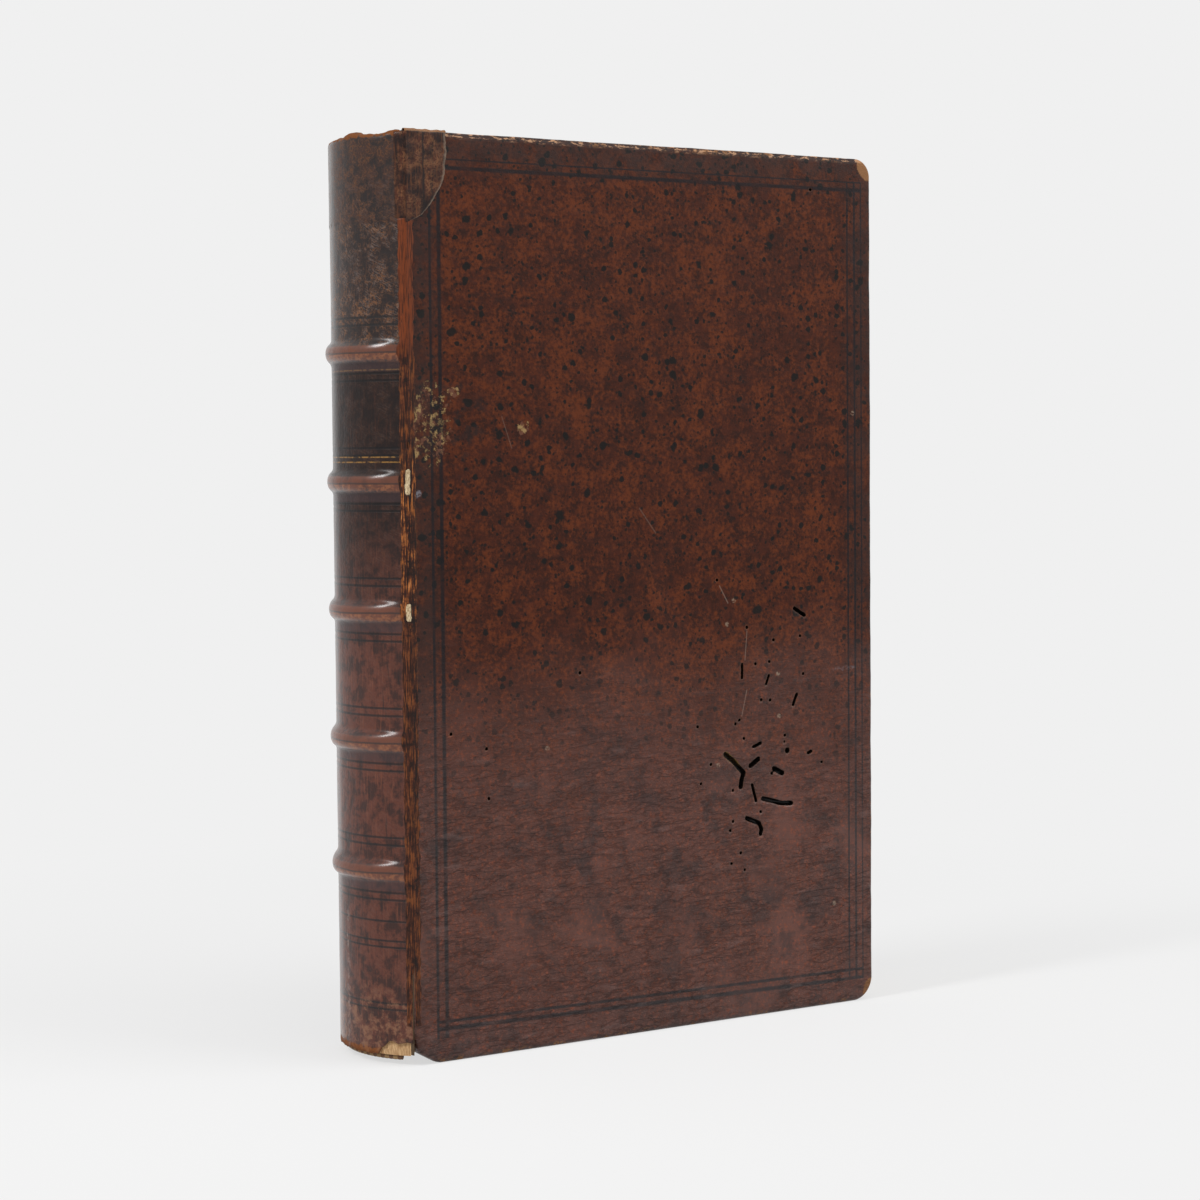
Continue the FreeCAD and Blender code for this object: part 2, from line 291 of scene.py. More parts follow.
# %% World
pale = paint(240, 240, 240)
world = bpy.data.worlds.new("studio")
bpy.context.scene.world = world
world.use_nodes = True
sky = Tree(world.node_tree)
seen = sky.nodes["Background"]
seen.inputs["Color"].default_value = pale
white = (1.0, 1.0, 1.0, 1.0)
lighting = sky.node("ShaderNodeBackground", {}, {"Color": white, "Strength": 0.36})
choose = sky.node("ShaderNodeMixShader", {},
                  [sky.seen_rays(), lighting, Value(sky, seen.outputs[0])])
sky.links.new(choose.socket, sky.nodes["World Output"].inputs["Surface"])
print("world made")

# %% Floor
floor_mesh = bmesh.new()
bmesh.ops.create_circle(floor_mesh, cap_ends=True, segments=64, radius=30.0)
floor_data = bpy.data.meshes.new("floor")
floor_mesh.to_mesh(floor_data)
floor_mesh.free()
floor = bpy.data.objects.new("floor", floor_data)
bpy.context.scene.collection.objects.link(floor)
sweep = Finish("pale_sweep", (240, 240, 240), roughness=0.9, specular=0.0)
sweep.shader.inputs["Base Color"].default_value = pale
_, east, north, _ = sweep.place()
reach = (east * east + north * north).math("SQRT")
glow = sweep.node("ShaderNodeEmission", {}, {"Color": pale, "Strength": 1.0})
own_light = (0.72 + 0.28 * reach.ramp(120, 520)) * sweep.seen_rays()
matt = Value(sweep, sweep.shader.outputs[0])
both = sweep.node("ShaderNodeMixShader", {}, [own_light, matt, glow])
sweep.links.new(both.socket, sweep.nodes["Material Output"].inputs["Surface"])
floor.data.materials.append(sweep.material)
print("floor made")

# %% Lamps
def soft_lamp(name, direction, from_book, width, height, power):
    """A soft box that faces the middle of the book."""
    lamp = bpy.data.lights.new(name, "AREA")
    lamp.shape = "RECTANGLE"
    lamp.size = width
    lamp.size_y = height
    lamp.energy = power
    holder = bpy.data.objects.new(name, lamp)
    toward = Vector(direction).normalized()
    holder.location = target + toward * from_book
    holder.rotation_mode = "QUATERNION"
    holder.rotation_quaternion = toward.to_track_quat("Z", "Y")
    bpy.context.scene.collection.objects.link(holder)
    return holder


soft_lamp("right_box", (0.75, -0.85, 0.75), 1.7, 1.1, 1.1, 12.5)
soft_lamp("left_window", (-0.76, -0.08, 0.62), 1.5, 0.24, 0.5, 13.5)
soft_lamp("top_box", (0.1, -0.25, 1.0), 1.4, 1.0, 0.5, 4.0)
print("three lamps made")

# %% [markdown]
# ## Sizes taken from the frame
#
# The book's own sizes come from the boxes of its CAD nodes, so that the leather fits the model.
# Two arcs end at the joints: one for the panels of the back, and a rounder one for the bands.

# %% Sizes
def node_box(name):
    """Lowest and highest corner of a CAD node, in millimetres."""
    low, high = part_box(name)
    return low * MM, high * MM


cover_low, cover_high = node_box("front_cover_leather")
back_low, back_high = node_box("spine_leather")
leaves_low, leaves_high = node_box("text_block")
height = cover_high.z
cover_y = -cover_low.y
inside_y = -cover_high.y
fore_x = cover_high.x
joint_x = (cover_low.x + back_high.x) / 2
board_edge = cover_low.x - joint_x
cover_width = fore_x - joint_x
spine_y = back_high.y
band_stand_out = 3.2
crown = joint_x - back_low.x - band_stand_out
calf = 0.9


def arc_through(depth):
    """Radius of an arc that is depth deep and ends at both joints."""
    return (depth ** 2 + spine_y ** 2) / (2 * depth)


panel_r = arc_through(crown + (back_high.x - joint_x))
panel_axis = joint_x - crown + panel_r
band_r = arc_through(crown + band_stand_out + (back_high.x - joint_x))
band_axis = joint_x - crown - band_stand_out + band_r
half_turn = math.asin(spine_y / panel_r)
band_heights = []
for number in range(1, 6):
    low, high = node_box("sewing_cord_%d" % number)
    band_heights.append((low.z + high.z) / 2)
print("cover", round(cover_width, 1), "x", round(height, 1), "mm, bands at",
      [round(z, 1) for z in band_heights])

# %% Helpers for meshes
def grid_lines(start, *stretches):
    """Places of grid lines: each stretch runs to an end in steps of about the size given."""
    places = [start]
    for end, step in stretches:
        count = max(1, round((end - places[-1]) / step))
        first = places[-1]
        places += [first + (end - first) * (i + 1) / count for i in range(count)]
    return places


def grid_on_lines(across, up):
    """A grid in x and z whose lines lie at the places given; it faces -Y."""
    bm = bmesh.new()
    bmesh.ops.create_grid(bm, x_segments=len(across) - 1, y_segments=len(up) - 1, size=0.5)
    for vert in bm.verts:
        column = round((vert.co.x + 0.5) * (len(across) - 1))
        row = round((vert.co.y + 0.5) * (len(up) - 1))
        vert.co = Vector((across[column], 0, up[row]))
    bm.normal_update()
    return bm


def smooth_step(value, low, high):
    share = min(1.0, max(0.0, (value - low) / (high - low)))
    return share * share * (3 - 2 * share)


def rough(seed, x, y, z=0.0):
    """Noise from about -1 to 1; seed picks another part of the noise."""
    return noise.noise(Vector((x + 17.3 * seed, y - 9.1 * seed, z + 5.7 * seed)))


def on_path(points, at):
    """Second coordinate of a path of points at a value of the first."""
    return float(np.interp(at, *zip(*points)))


def new_parts(result, kind):
    """What a mesh operator made, of one kind."""
    return [part for part in result["geom"] if isinstance(part, kind)]


def new_verts(result):
    return new_parts(result, bmesh.types.BMVert)


def mirror(bm):
    """Turns a piece made for the front into one for the back."""
    bmesh.ops.scale(bm, vec=(1, -1, 1), verts=bm.verts)
    bmesh.ops.reverse_faces(bm, faces=bm.faces)


def finished_piece(name, bm, finish):
    """A mesh made in millimetres becomes an object in metres at the origin."""
    bmesh.ops.scale(bm, vec=(1 / MM,) * 3, verts=bm.verts)
    mesh = bpy.data.meshes.new(name)
    bm.to_mesh(mesh)
    bm.free()
    mesh.polygons.foreach_set("use_smooth", [True] * len(mesh.polygons))
    piece = bpy.data.objects.new(name, mesh)
    bpy.context.scene.collection.objects.link(piece)
    mesh.materials.append(finish.material)
    triangles = sum(len(face.vertices) - 2 for face in mesh.polygons)
    print(name, "has", triangles, "triangles")
    return piece


print("helpers ready")

# %% [markdown]
# ## The cover's skin
#
# The calf lies flat on the board, rolls over three of its edges and is turned in. Its outline is
# worn: two fore corners are rounded and the tail corner at the joint is nipped away. The sheet could
# be cut from the CAD solid, but a grid that is bent to the outline keeps even faces for the creases.
# Its edge is then extruded ring by ring, over the edge and in, and the inside is closed.

# %% Grid bent to the outline
edge_round = 1.6
inner_round = 0.7
turn_in = 16.0
tail_bend = 40.0         # up to here a worn tail bends the grid
joint_side = joint_x + board_edge + 0.01     # edges left of it lie along the joint


def round_corner(x, z, middle_x, middle_z, radius):
    """Bends a square corner of the grid to a quarter circle round its middle."""
    a = (x - middle_x) / radius
    b = (z - middle_z) / radius
    if a <= 0 or (b <= 0) == (middle_z > height / 2):
        return x, z
    return (middle_x + radius * a * math.sqrt(1 - b * b / 2),
            middle_z + radius * b * math.sqrt(1 - a * a / 2))


def raise_tail(z, start, low):
    """Moves a grid's lowest row from start up to low, and the rows above it less and less."""
    if z >= tail_bend:
        return z
    return low + (z - start) * (tail_bend - low) / (tail_bend - start)


def bend_to_outline(bm, head_corner, tail_corner, nip):
    head = head_corner - edge_round
    tail = tail_corner - edge_round
    side = cover_width - edge_round
    for vert in bm.verts:
        x, z = round_corner(vert.co.x, vert.co.z, side - head, height - edge_round - head, head)
        x, z = round_corner(x, z, side - tail, edge_round + tail, tail)
        z = raise_tail(z, edge_round, on_path(nip, x))
        vert.co = Vector((joint_x + x, -cover_y, z))


# %% Rings round the edge
def free_rim(bm):
    """Open edges, apart from those along the joint."""
    return [e for e in bm.edges if e.is_boundary and max(v.co.x for v in e.verts) > joint_side]


def outward_directions(bm, out):
    """Stores in each edge vertex the direction in the cover's plane that leads off the cover."""
    rim = free_rim(bm)
    for edge in rim:
        along = edge.verts[1].co - edge.verts[0].co
        side = Vector((along.z, 0, -along.x)).normalized()
        if side.dot(edge.link_faces[0].calc_center_median() - edge.verts[0].co) > 0:
            side = -side
        for vert in edge.verts:
            vert[out] += side
    for vert in {v for e in rim for v in e.verts}:
        if vert.co.x < joint_side:
            vert[out].x = 0
        vert[out].normalize()
    return rim


def new_edges(result):
    """Edges that an extrusion made at its far end."""
    far = set(new_verts(result))
    return [edge for edge in new_parts(result, bmesh.types.BMEdge) if far.issuperset(edge.verts)]


def edge_profile():
    """Steps round the board's edge: how far inside the outline, and at what depth."""
    steps = []
    for turn in (math.pi / 8, math.pi / 4, 3 * math.pi / 8, math.pi / 2):
        steps.append((edge_round * (1 - math.sin(turn)),
                      -cover_y + edge_round * (1 - math.cos(turn))))
    steps.append((0.0, -(cover_y + inside_y) / 2))
    for turn in (0.0, math.pi / 4, math.pi / 2):
        steps.append((inner_round * (1 - math.cos(turn)),
                      -inside_y - inner_round * (1 - math.sin(turn))))
    return steps


def turn_over(bm, rim, out):
    """Extrudes the rim over the edge of the board, down its side and in under it."""
    inset = edge_round
    for next_inset, y in edge_profile():
        result = bmesh.ops.extrude_edge_only(bm, edges=rim)
        rim = new_edges(result)
        for vert in new_verts(result):
            vert.co += vert[out] * (inset - next_inset)
            vert.co.y = y
        inset = next_inset
    result = bmesh.ops.extrude_edge_only(bm, edges=rim)
    for vert in new_verts(result):
        vert.co.x = min(vert.co.x, fore_x - turn_in)
        vert.co.z = min(height - turn_in, max(turn_in, vert.co.z))
    bmesh.ops.remove_doubles(bm, verts=new_verts(result), dist=0.001)
    result = bmesh.ops.extrude_edge_only(bm, edges=free_rim(bm))
    for vert in new_verts(result):
        vert.co.y = -inside_y - 0.5


def close_inside(bm):
    """Fills the window between the turn-ins, then the long side along the joint."""
    window = free_rim(bm)
    ends = [v for v in {v for e in window for v in e.verts} if v.co.x < joint_side]
    window.append(bm.edges.new(ends))
    made = bmesh.ops.contextual_create(bm, geom=window)["faces"]
    side = [e for e in bm.edges if e.is_boundary]
    made += bmesh.ops.contextual_create(bm, geom=side)["faces"]
    bmesh.ops.triangulate(bm, faces=made)
    bmesh.ops.recalc_face_normals(bm, faces=bm.faces)


print("cover builder ready")

# %% [markdown]
# ## Worm holes
#
# Beetle grubs ate galleries through the board and came out through small round holes. Low on the
# front cover the galleries lie so near the surface that the calf has fallen in, in short slots and
# tears. A Boolean would cut them, but it leaves needle faces. Here the faces of the fine grid inside
# each hole are taken out, the edge is moved onto the hole's outline, and that edge is extruded in.

# %% Cutting holes
def gap_to(hole, x, z):
    """Signed distance to a hole's edge, and the nearest point of its middle line; arrays too."""
    (x0, z0), (x1, z1), width = hole
    dx, dz = x1 - x0, z1 - z0
    length = max(dx * dx + dz * dz, 1e-9)
    share = np.clip(((x - x0) * dx + (z - z0) * dz) / length, 0, 1)
    near_x, near_z = x0 + share * dx, z0 + share * dz
    return np.hypot(x - near_x, z - near_z) - width / 2, near_x, near_z


def hole_faces(bm, holes):
    """Faces of the front whose middle lies inside a hole."""
    faces = [f for f in bm.faces if f.calc_center_median().y < -cover_y + 0.6]
    middles = np.array([f.calc_center_median()[:] for f in faces])
    gaps = [gap_to(hole, middles[:, 0] - joint_x, middles[:, 2])[0] for hole in holes]
    return [face for face, gap in zip(faces, np.min(gaps, axis=0)) if gap < 0]


def cut_holes(bm, holes, depth_layer):
    """Opens the holes in the calf and takes their walls down into the board."""
    bmesh.ops.delete(bm, geom=hole_faces(bm, holes), context="FACES")
    pinched = {v.link_faces[0] for v in bm.verts if sum(e.is_boundary for e in v.link_edges) > 2}
    bmesh.ops.delete(bm, geom=list(pinched), context="FACES")
    rim = [e for e in bm.edges if e.is_boundary]
    for vert in {v for e in rim for v in e.verts}:
        x, z = vert.co.x - joint_x, vert.co.z
        gap, near_x, near_z = min(gap_to(hole, x, z) for hole in holes)
        away_from = max(1e-6, math.hypot(x - near_x, z - near_z))
        wanted = away_from - gap + 0.12 * rough(3, x * 2.1, z * 2.1)
        vert.co.x = joint_x + near_x + (x - near_x) / away_from * wanted
        vert.co.z = near_z + (z - near_z) / away_from * wanted
        vert[depth_layer] = 0.25
    # The deeper rings get higher values, which the front's finish paints darker as painted shade.
    for step, shade_depth in ((0.15, 0.6), (0.75, 0.8), (2.3, 1.0)):
        result = bmesh.ops.extrude_edge_only(bm, edges=rim)
        rim = new_edges(result)
        for vert in new_verts(result):
            vert.co.y += step
            vert[depth_layer] = shade_depth
    bmesh.ops.holes_fill(bm, edges=rim, sides=0)
    bmesh.ops.recalc_face_normals(bm, faces=bm.faces)


def spot(x, z, width=1.3):
    return (x, z), (x, z), width


def trail(points, width):
    return [(start, end, width) for start, end in zip(points, points[1:])]


exit_holes = [spot(x, z) for x, z in (
    (130.3, 163.1), (143.9, 145.2), (156.2, 140.0), (168.8, 140.9), (147.8, 131.5),
    (154.2, 132.0), (170.2, 126.6), (150.4, 118.0), (154.5, 117.6), (140.2, 111.0),
    (138.4, 109.7), (121.1, 109.7), (142.3, 104.1), (161.4, 104.1), (178.8, 92.8),
    (127.1, 95.5), (155.3, 90.1), (122.5, 88.7), (137.2, 85.2), (149.9, 76.3), (137.1, 73.7),
    (135.8, 70.4), (136.2, 58.1), (140.5, 61.7), (142.3, 55.2), (16.1, 113.8), (30.4, 107.7),
    (31.2, 90.3), (69.7, 132.2), (174.6, 307.0))]
exit_holes.append(spot(162.5, 98.3, 2.3))
exit_holes.append(spot(161.2, 101.7, 1.1))
galleries = [
    ((166.2, 151.3), (170.9, 148.6), 1.5), ((141.6, 131.7), (141.5, 126.5), 1.2),
    ((154.1, 127.0), (152.7, 123.7), 1.1), ((167.1, 119.2), (165.3, 115.3), 1.3),
    ((146.8, 100.7), (150.0, 101.9), 1.3), ((172.3, 96.6), (173.9, 97.3), 1.3),
    ((145.4, 93.7), (148.9, 96.0), 2.0), ((156.3, 91.9), (160.1, 90.0), 2.0),
    ((146.0, 86.6), (147.8, 80.5), 1.3)]
tears = trail([(133.7, 98.7), (137.9, 95.6), (140.1, 93.2), (142.2, 91.3), (141.1, 88.6),
               (140.7, 86.3)], 2.1)
tears += trail([(151.0, 81.1), (155.7, 79.9), (159.2, 78.8), (164.3, 78.4)], 1.8)
tears += trail([(143.4, 74.3), (146.3, 73.2), (149.1, 72.1), (150.2, 69.7), (149.8, 68.1)], 1.8)
worm_damage = exit_holes + galleries + tears
print(len(exit_holes), "exit holes and", len(galleries) + len(tears), "stretches of gallery")

# %% Surface of the front cover
def front_relief(across, z):
    """How far the front's surface lies below the flat, in millimetres."""
    creased = (1 - smooth_step(z, 60, 150)) * (0.5 + rough(4, across / 25, z / 25))
    crests = 1 - 2 * abs(rough(2, across / 32 + z / 160, z / 5.5))
    rotten = 1 - smooth_step(math.hypot(across - 148, (z - 92) * 0.9), 8, 26)
    deep = 0.10 + 0.10 * rough(1, across / 55, z / 55) + 0.10 * creased * crests
    deep += 0.05 * rough(5, across / 7, z / 7)
    deep += 0.18 * rotten * (0.5 + rough(6, across / 5, z / 5))
    return max(-0.02, deep)


def back_relief(across, z):
    slow = 0.1 * rough(11, across / 50, z / 50)
    quick = 0.05 * rough(12, across / 8, z / 8)
    under_strip = 0.16 * (1 - smooth_step(across, 4.4, 6.4))
    return max(0.0, 0.1 + slow + quick) + under_strip


def settle(bm, relief, wave_seed):
    """Gives the outside its relief, and the edges the slow waves of a worn board."""
    for vert in bm.verts:
        across, z = vert.co.x - joint_x, vert.co.z
        shallow = 1 - smooth_step(vert.co.y, -cover_y, -cover_y + 3.0)
        vert.co.y += relief(across, z) * shallow
        slow = 0.28 * (1 + rough(wave_seed, z / 18, 0))
        quick = 0.08 * (1 + rough(wave_seed, z / 4, 3))
        vert.co.x -= smooth_step(across, cover_width - 14, cover_width) * (slow + quick)
        slow = 0.22 * (1 + rough(wave_seed + 1, across / 22, 0))
        quick = 0.08 * (1 + rough(wave_seed, across / 4, 7))
        vert.co.z -= smooth_step(z, height - 12, height) * (slow + quick)


def cover_skin(across, up, corners, nip, relief, wave_seed):
    """Closed skin of one cover, made as a front cover."""
    bm = grid_on_lines(across, up)
    out = bm.verts.layers.float_vector.new("out")
    bend_to_outline(bm, corners[0], corners[1], nip)
    turn_over(bm, outward_directions(bm, out), out)
    close_inside(bm)
    settle(bm, relief, wave_seed)
    bm.verts.layers.float_vector.remove(out)
    return bm


front_lines = grid_lines(board_edge, (5, 0.5), (14.8, 1.3), (17.4, 0.5), (29.2, 1.4), (32.6, 0.5),
                         (68.4, 1.45), (71.0, 0.5), (116, 1.45), (181, 0.65),
                         (cover_width - edge_round, 1.1))
front_rows = grid_lines(edge_round, (50, 1.3), (166, 0.65), (305.6, 1.35), (308.4, 0.5),
                        (height - edge_round, 1.0))
front_nip = [(board_edge, 14.6), (3.6, 5.4), (10.4, edge_round)]
front_bm = cover_skin(front_lines, front_rows, (7.0, 9.0), front_nip, front_relief, 21)
depth_layer = front_bm.verts.layers.float.new("gnawed")
cut_holes(front_bm, worm_damage, depth_layer)
open_edges = sum(not e.is_manifold for e in front_bm.edges)
print("front skin:", len(front_bm.faces), "faces,", open_edges, "open edges")

# %% Back skin
back_lines = grid_lines(board_edge, (cover_width - edge_round, 2.2))
back_rows = grid_lines(edge_round, (height - edge_round, 2.2))
back_nip = [(board_edge, 5.2), (4.7, edge_round)]
back_bm = cover_skin(back_lines, back_rows, (6.0, 6.0), back_nip, back_relief, 31)
mirror(back_bm)
print("back skin:", len(back_bm.faces), "faces")

# %% [markdown]
# ## The back of the book
#
# The spine leather is one sheet moulded over the rounded back and its five cords. It could be spun
# from a profile, but the bands are rounder than the panels and run out to nothing at the joints.
# So a grid is laid out in turns and heights, and each vertex is moved onto the rounded back, lifted
# where it lies over a cord, and curled over at the head.

# %% The spine's surface
crest_radius = 3.6
foot_radius = 2.0
touch = 3.27
foot = 5.08
cap_roll = 1.8
tail_edge = back_low.z


def band_share(gap):
    """Section of a band, 1 at its crest, at a distance above or below its middle."""
    gap = abs(gap)
    if gap < touch:
        return (math.sqrt(crest_radius ** 2 - gap ** 2) - crest_radius) / band_stand_out + 1
    if gap < foot:
        return (foot_radius - math.sqrt(foot_radius ** 2 - (foot - gap) ** 2)) / band_stand_out
    return 0.0


def spine_relief(turn, z):
    """How far the worn surface lies below the moulded one, in millimetres."""
    y = panel_r * turn
    deep = 0.05 + 0.05 * rough(41, y / 9, z / 14) + 0.04 * rough(42, y / 2.5, z / 5)
    for band in band_heights:
        gap = z - band
        deep += 0.10 * max(0, 1 - abs(abs(gap - 0.6) - 9.3) / 0.5)
        deep += 0.08 * max(0, 1 - abs(abs(gap - 0.6) - 11.6) / 0.45)
    return max(0.0, deep)


def spine_point(turn, row, lift=0.0):
    """A point on the outside of the back: turn is positive towards the front cover."""
    curl = row - (height - cap_roll)
    z = min(row, height - cap_roll)
    inward = 0.0
    if curl > 0:
        angle = min(curl / cap_roll, math.pi / 2)
        inward = cap_roll * (1 - math.cos(angle)) + max(0.0, curl - cap_roll * math.pi / 2)
        z += cap_roll * math.sin(angle)
    radius = panel_r - inward + lift - spine_relief(turn, row)
    y = -radius * math.sin(turn)
    x = panel_axis - radius * math.cos(turn)
    flat_y = min(spine_y, panel_r * abs(math.sin(turn)))
    flat_x = panel_axis - math.sqrt(panel_r ** 2 - flat_y ** 2)
    crest_x = band_axis - math.sqrt(band_r ** 2 - flat_y ** 2)
    share = max(band_share(z - band) for band in band_heights)
    return Vector((x - (flat_x - crest_x) * share, y, z))


def tail_height(turn):
    """Ragged lower edge of the spine leather, with the piece lost beside the front joint."""
    toward_front = panel_r * math.sin(turn)
    slow = 0.5 * (1 + rough(43, toward_front / 3, 0))
    quick = 0.3 * (1 + rough(44, toward_front, 1))
    lost = smooth_step(toward_front, 12.6, 14.5) * (5.6 - tail_edge)
    lost += smooth_step(toward_front, 15.0, 17.5) * 2.0
    lost += 0.9 * rough(45, toward_front / 1.7, 4) * smooth_step(toward_front, 13, 15)
    return tail_edge + slow + quick + lost


def head_drop(turn):
    """How far the torn head edge lies below the boards' head."""
    drop = 1.2 + 0.45 * rough(48, turn * 7, 0) + 0.3 * rough(49, turn * 26, 0)
    return max(0.0, drop - 1.4 * math.exp(-((turn - 0.14) / 0.1) ** 2)
               - 0.9 * math.exp(-((turn - 0.68) / 0.12) ** 2))


ruled = 13
coarse = 1.1
fine = 0.48
turns = grid_lines(-half_turn, (half_turn, half_turn / 34))
spine_rows = [tail_edge]
for band in band_heights:
    spine_rows = spine_rows[:-1] + grid_lines(spine_rows[-1], (band - ruled, coarse),
                                              (band + ruled, fine))
spine_rows = spine_rows[:-1] + grid_lines(spine_rows[-1], (286, coarse), (292, 0.5),
                                          (height - cap_roll, 1.0), (height + 2.9, 0.5))
spine_bm = grid_on_lines(turns, spine_rows)
for vert in spine_bm.verts:
    turn = vert.co.x
    row = raise_tail(vert.co.z, tail_edge, tail_height(turn))
    patch_edge = 289 + 1.0 * rough(46, turn * 9, 0) + 0.5 * rough(47, turn * 30, 0)
    patch = 0.2 * smooth_step(row, patch_edge, patch_edge + 0.5)
    vert.co = spine_point(turn, row, patch)
    vert.co.z -= head_drop(turn) * smooth_step(row, 300, 317)
spine_bm.normal_update()
bmesh.ops.solidify(spine_bm, geom=spine_bm.faces[:], thickness=calf - 0.1)
spine_end = node_box("spine_leather")[1].x
for vert in spine_bm.verts:
    vert.co.x = min(vert.co.x, spine_end)
print("spine skin:", len(spine_bm.faces), "faces")

# %% [markdown]
# ## The joints
#
# The calf goes on from the back over each joint to its cover, as one skin, and bends there. Cut with
# the covers it would gape when they open. So a thin strip lies over each joint: it follows the back
# on one side of the hinge line and the cover on the other.

# %% Strips over the joints
def ragged_reach(reach, ragged, seed, z, row):
    """How far a strip with a ragged end reaches at a height."""
    slow = rough(seed, z / 4, row)
    quick = rough(seed, z / 1.1, row + 4)
    return reach * (1 + ragged * (slow + 0.6 * quick))


def joint_strip(rows, spine_reach, board_reach, lift, ragged, seed, relief=front_relief):
    """Strip from the front of the back over the joint, with ragged long edges."""
    columns = 9
    bm = grid_on_lines(list(range(-columns, columns + 1)), rows)
    for vert in bm.verts:
        share, z = round(vert.co.x) / columns, vert.co.z
        if share < 0:
            reach = 0.05 - share * ragged_reach(spine_reach, ragged, seed, z, 1)
            vert.co = spine_point(half_turn - reach / panel_r, z, lift)
        elif share > 0:
            reach = 0.05 + share * ragged_reach(board_reach, ragged, seed + 1, z, 2)
            across = board_edge + reach
            vert.co = Vector((joint_x + across, -cover_y + relief(across, z) - lift, z))
        else:
            vert.co = Vector((joint_x, -cover_y - lift * 0.3, z))
    return bm


def thicken_strip(bm, thickness, outermost=cover_y + 0.26):
    """Gives a strip its thickness and keeps it inside the model's box."""
    bm.normal_update()
    bmesh.ops.solidify(bm, geom=bm.faces[:], thickness=thickness)
    for vert in bm.verts:
        vert.co.y = max(vert.co.y, -outermost)


def crack_width(z):
    """How wide the front joint gapes at a height: at the tail, at two cords and in small splits."""
    wide = 1.5 * (1 - smooth_step(z, 16, 48))
    for band, half in ((band_heights[3], 3.6), (band_heights[2], 2.2)):
        wide = max(wide, 1.5 * (1 - smooth_step(abs(z - band), half, half + 1.2)))
    if 48 < z < 240:
        wide = max(wide, 1.6 * (rough(63, z / 7, 0) - 0.12))
    return wide


front_joint_rows = grid_lines(14, (290, 0.6))
joint_bm = joint_strip(front_joint_rows, 2.1, 2.6, 0.22, 0.24, 61)
gaping = []
for face in joint_bm.faces:
    middle = face.calc_center_median()
    width = crack_width(middle.z)
    side = joint_x + 0.35 * rough(64, middle.z / 5, 0)
    if width > 0.1 and abs(middle.x - side) < width * 0.55:
        gaping.append(face)
bmesh.ops.delete(joint_bm, geom=gaping, context="FACES")
bmesh.ops.smooth_vert(joint_bm, verts=[v for v in joint_bm.verts if v.is_boundary], factor=0.4,
                      use_axis_x=True, use_axis_y=True, use_axis_z=True)
thicken_strip(joint_bm, 0.18)
head_joint_bm = joint_strip(grid_lines(290, (height - 0.8, 0.7)), 3.0, 3.0, 0.26, 0.05, 65)
thicken_strip(head_joint_bm, 0.18)
back_joint_bm = joint_strip(grid_lines(6, (height - 0.8, 1.2)), 3.2, 4.2, 0.2, 0.04, 71,
                            back_relief)
thicken_strip(back_joint_bm, 0.16, cover_y - 0.004)
mirror(back_joint_bm)
print("joint strips made")

# %% Flap of the later head leather
flap_edge = [(288.4, 0.4), (291.2, 6.1), (296.4, 10.9), (303.4, 15.3), (313.6, 16.3), (320.8, 16.1)]
flap_fold = height - 0.4
flap_bm = grid_on_lines(grid_lines(0, (1, 1 / 30)),
                        grid_lines(288.6, (flap_fold, 0.55), (height + 2.4, 0.4)))
torn_layer = flap_bm.verts.layers.float.new("torn")
for vert in flap_bm.verts:
    share, row = vert.co.x, vert.co.z
    vert[torn_layer] = smooth_step(share + 0.03 * rough(54, row, 0), 0.93, 0.99)
    width = on_path(flap_edge, min(row, height))
    width += 0.45 * rough(51, row / 3, 0) + 0.2 * rough(51, row, 4)
    across = board_edge + share * max(0.3, width)
    turn = max(0.0, row - flap_fold)
    lift = 0.22 + 0.05 * rough(52, across / 3, row / 3)
    y = -cover_y - lift + 1 - math.cos(turn)
    z = min(row, flap_fold) + math.sin(turn)
    z -= 0.3 * (turn > 0) * (1 + rough(53, across / 2, 0))
    vert.co = Vector((joint_x + across, y, z))
bmesh.ops.solidify(flap_bm, geom=flap_bm.faces[:], thickness=0.2)
print("flap made")

# %% [markdown]
# ## The leaves
#
# The leaves were trimmed after sewing, so their edges are flat, but each gathering has settled a
# little differently. The fore-edge is hollow because the back is rounded. One grid across the
# leaves, extruded up and bent to the hollow and the rounded back, takes that relief on its edges.

# %% Leaves
block_y = node_box("back_flyleaf")[0].y
shoulder_x = node_box("spine_linings")[1].x
shoulder_y = leaves_high.y
lining = 0.55
glue_gap = 0.05
block_r = panel_r - calf - lining - 2 * glue_gap
hollow = 7.0
edge_step = 0.26


def leaf_relief(seed, y, along):
    """Steps between gatherings and single leaves standing out, in millimetres."""
    gathering = 0.16 * rough(seed, y / 3.6, along / 160)
    leaf = 0.10 * rough(seed + 1, y / 0.5, along / 70)
    return gathering + leaf


def leaf_end(y):
    """Where the leaves end: at the hollow fore-edge, or at the shoulder outside the flat sides."""
    if abs(y) > block_y + 0.005:
        return shoulder_x
    return leaves_high.x - hollow * (1 - (y / block_y) ** 2)


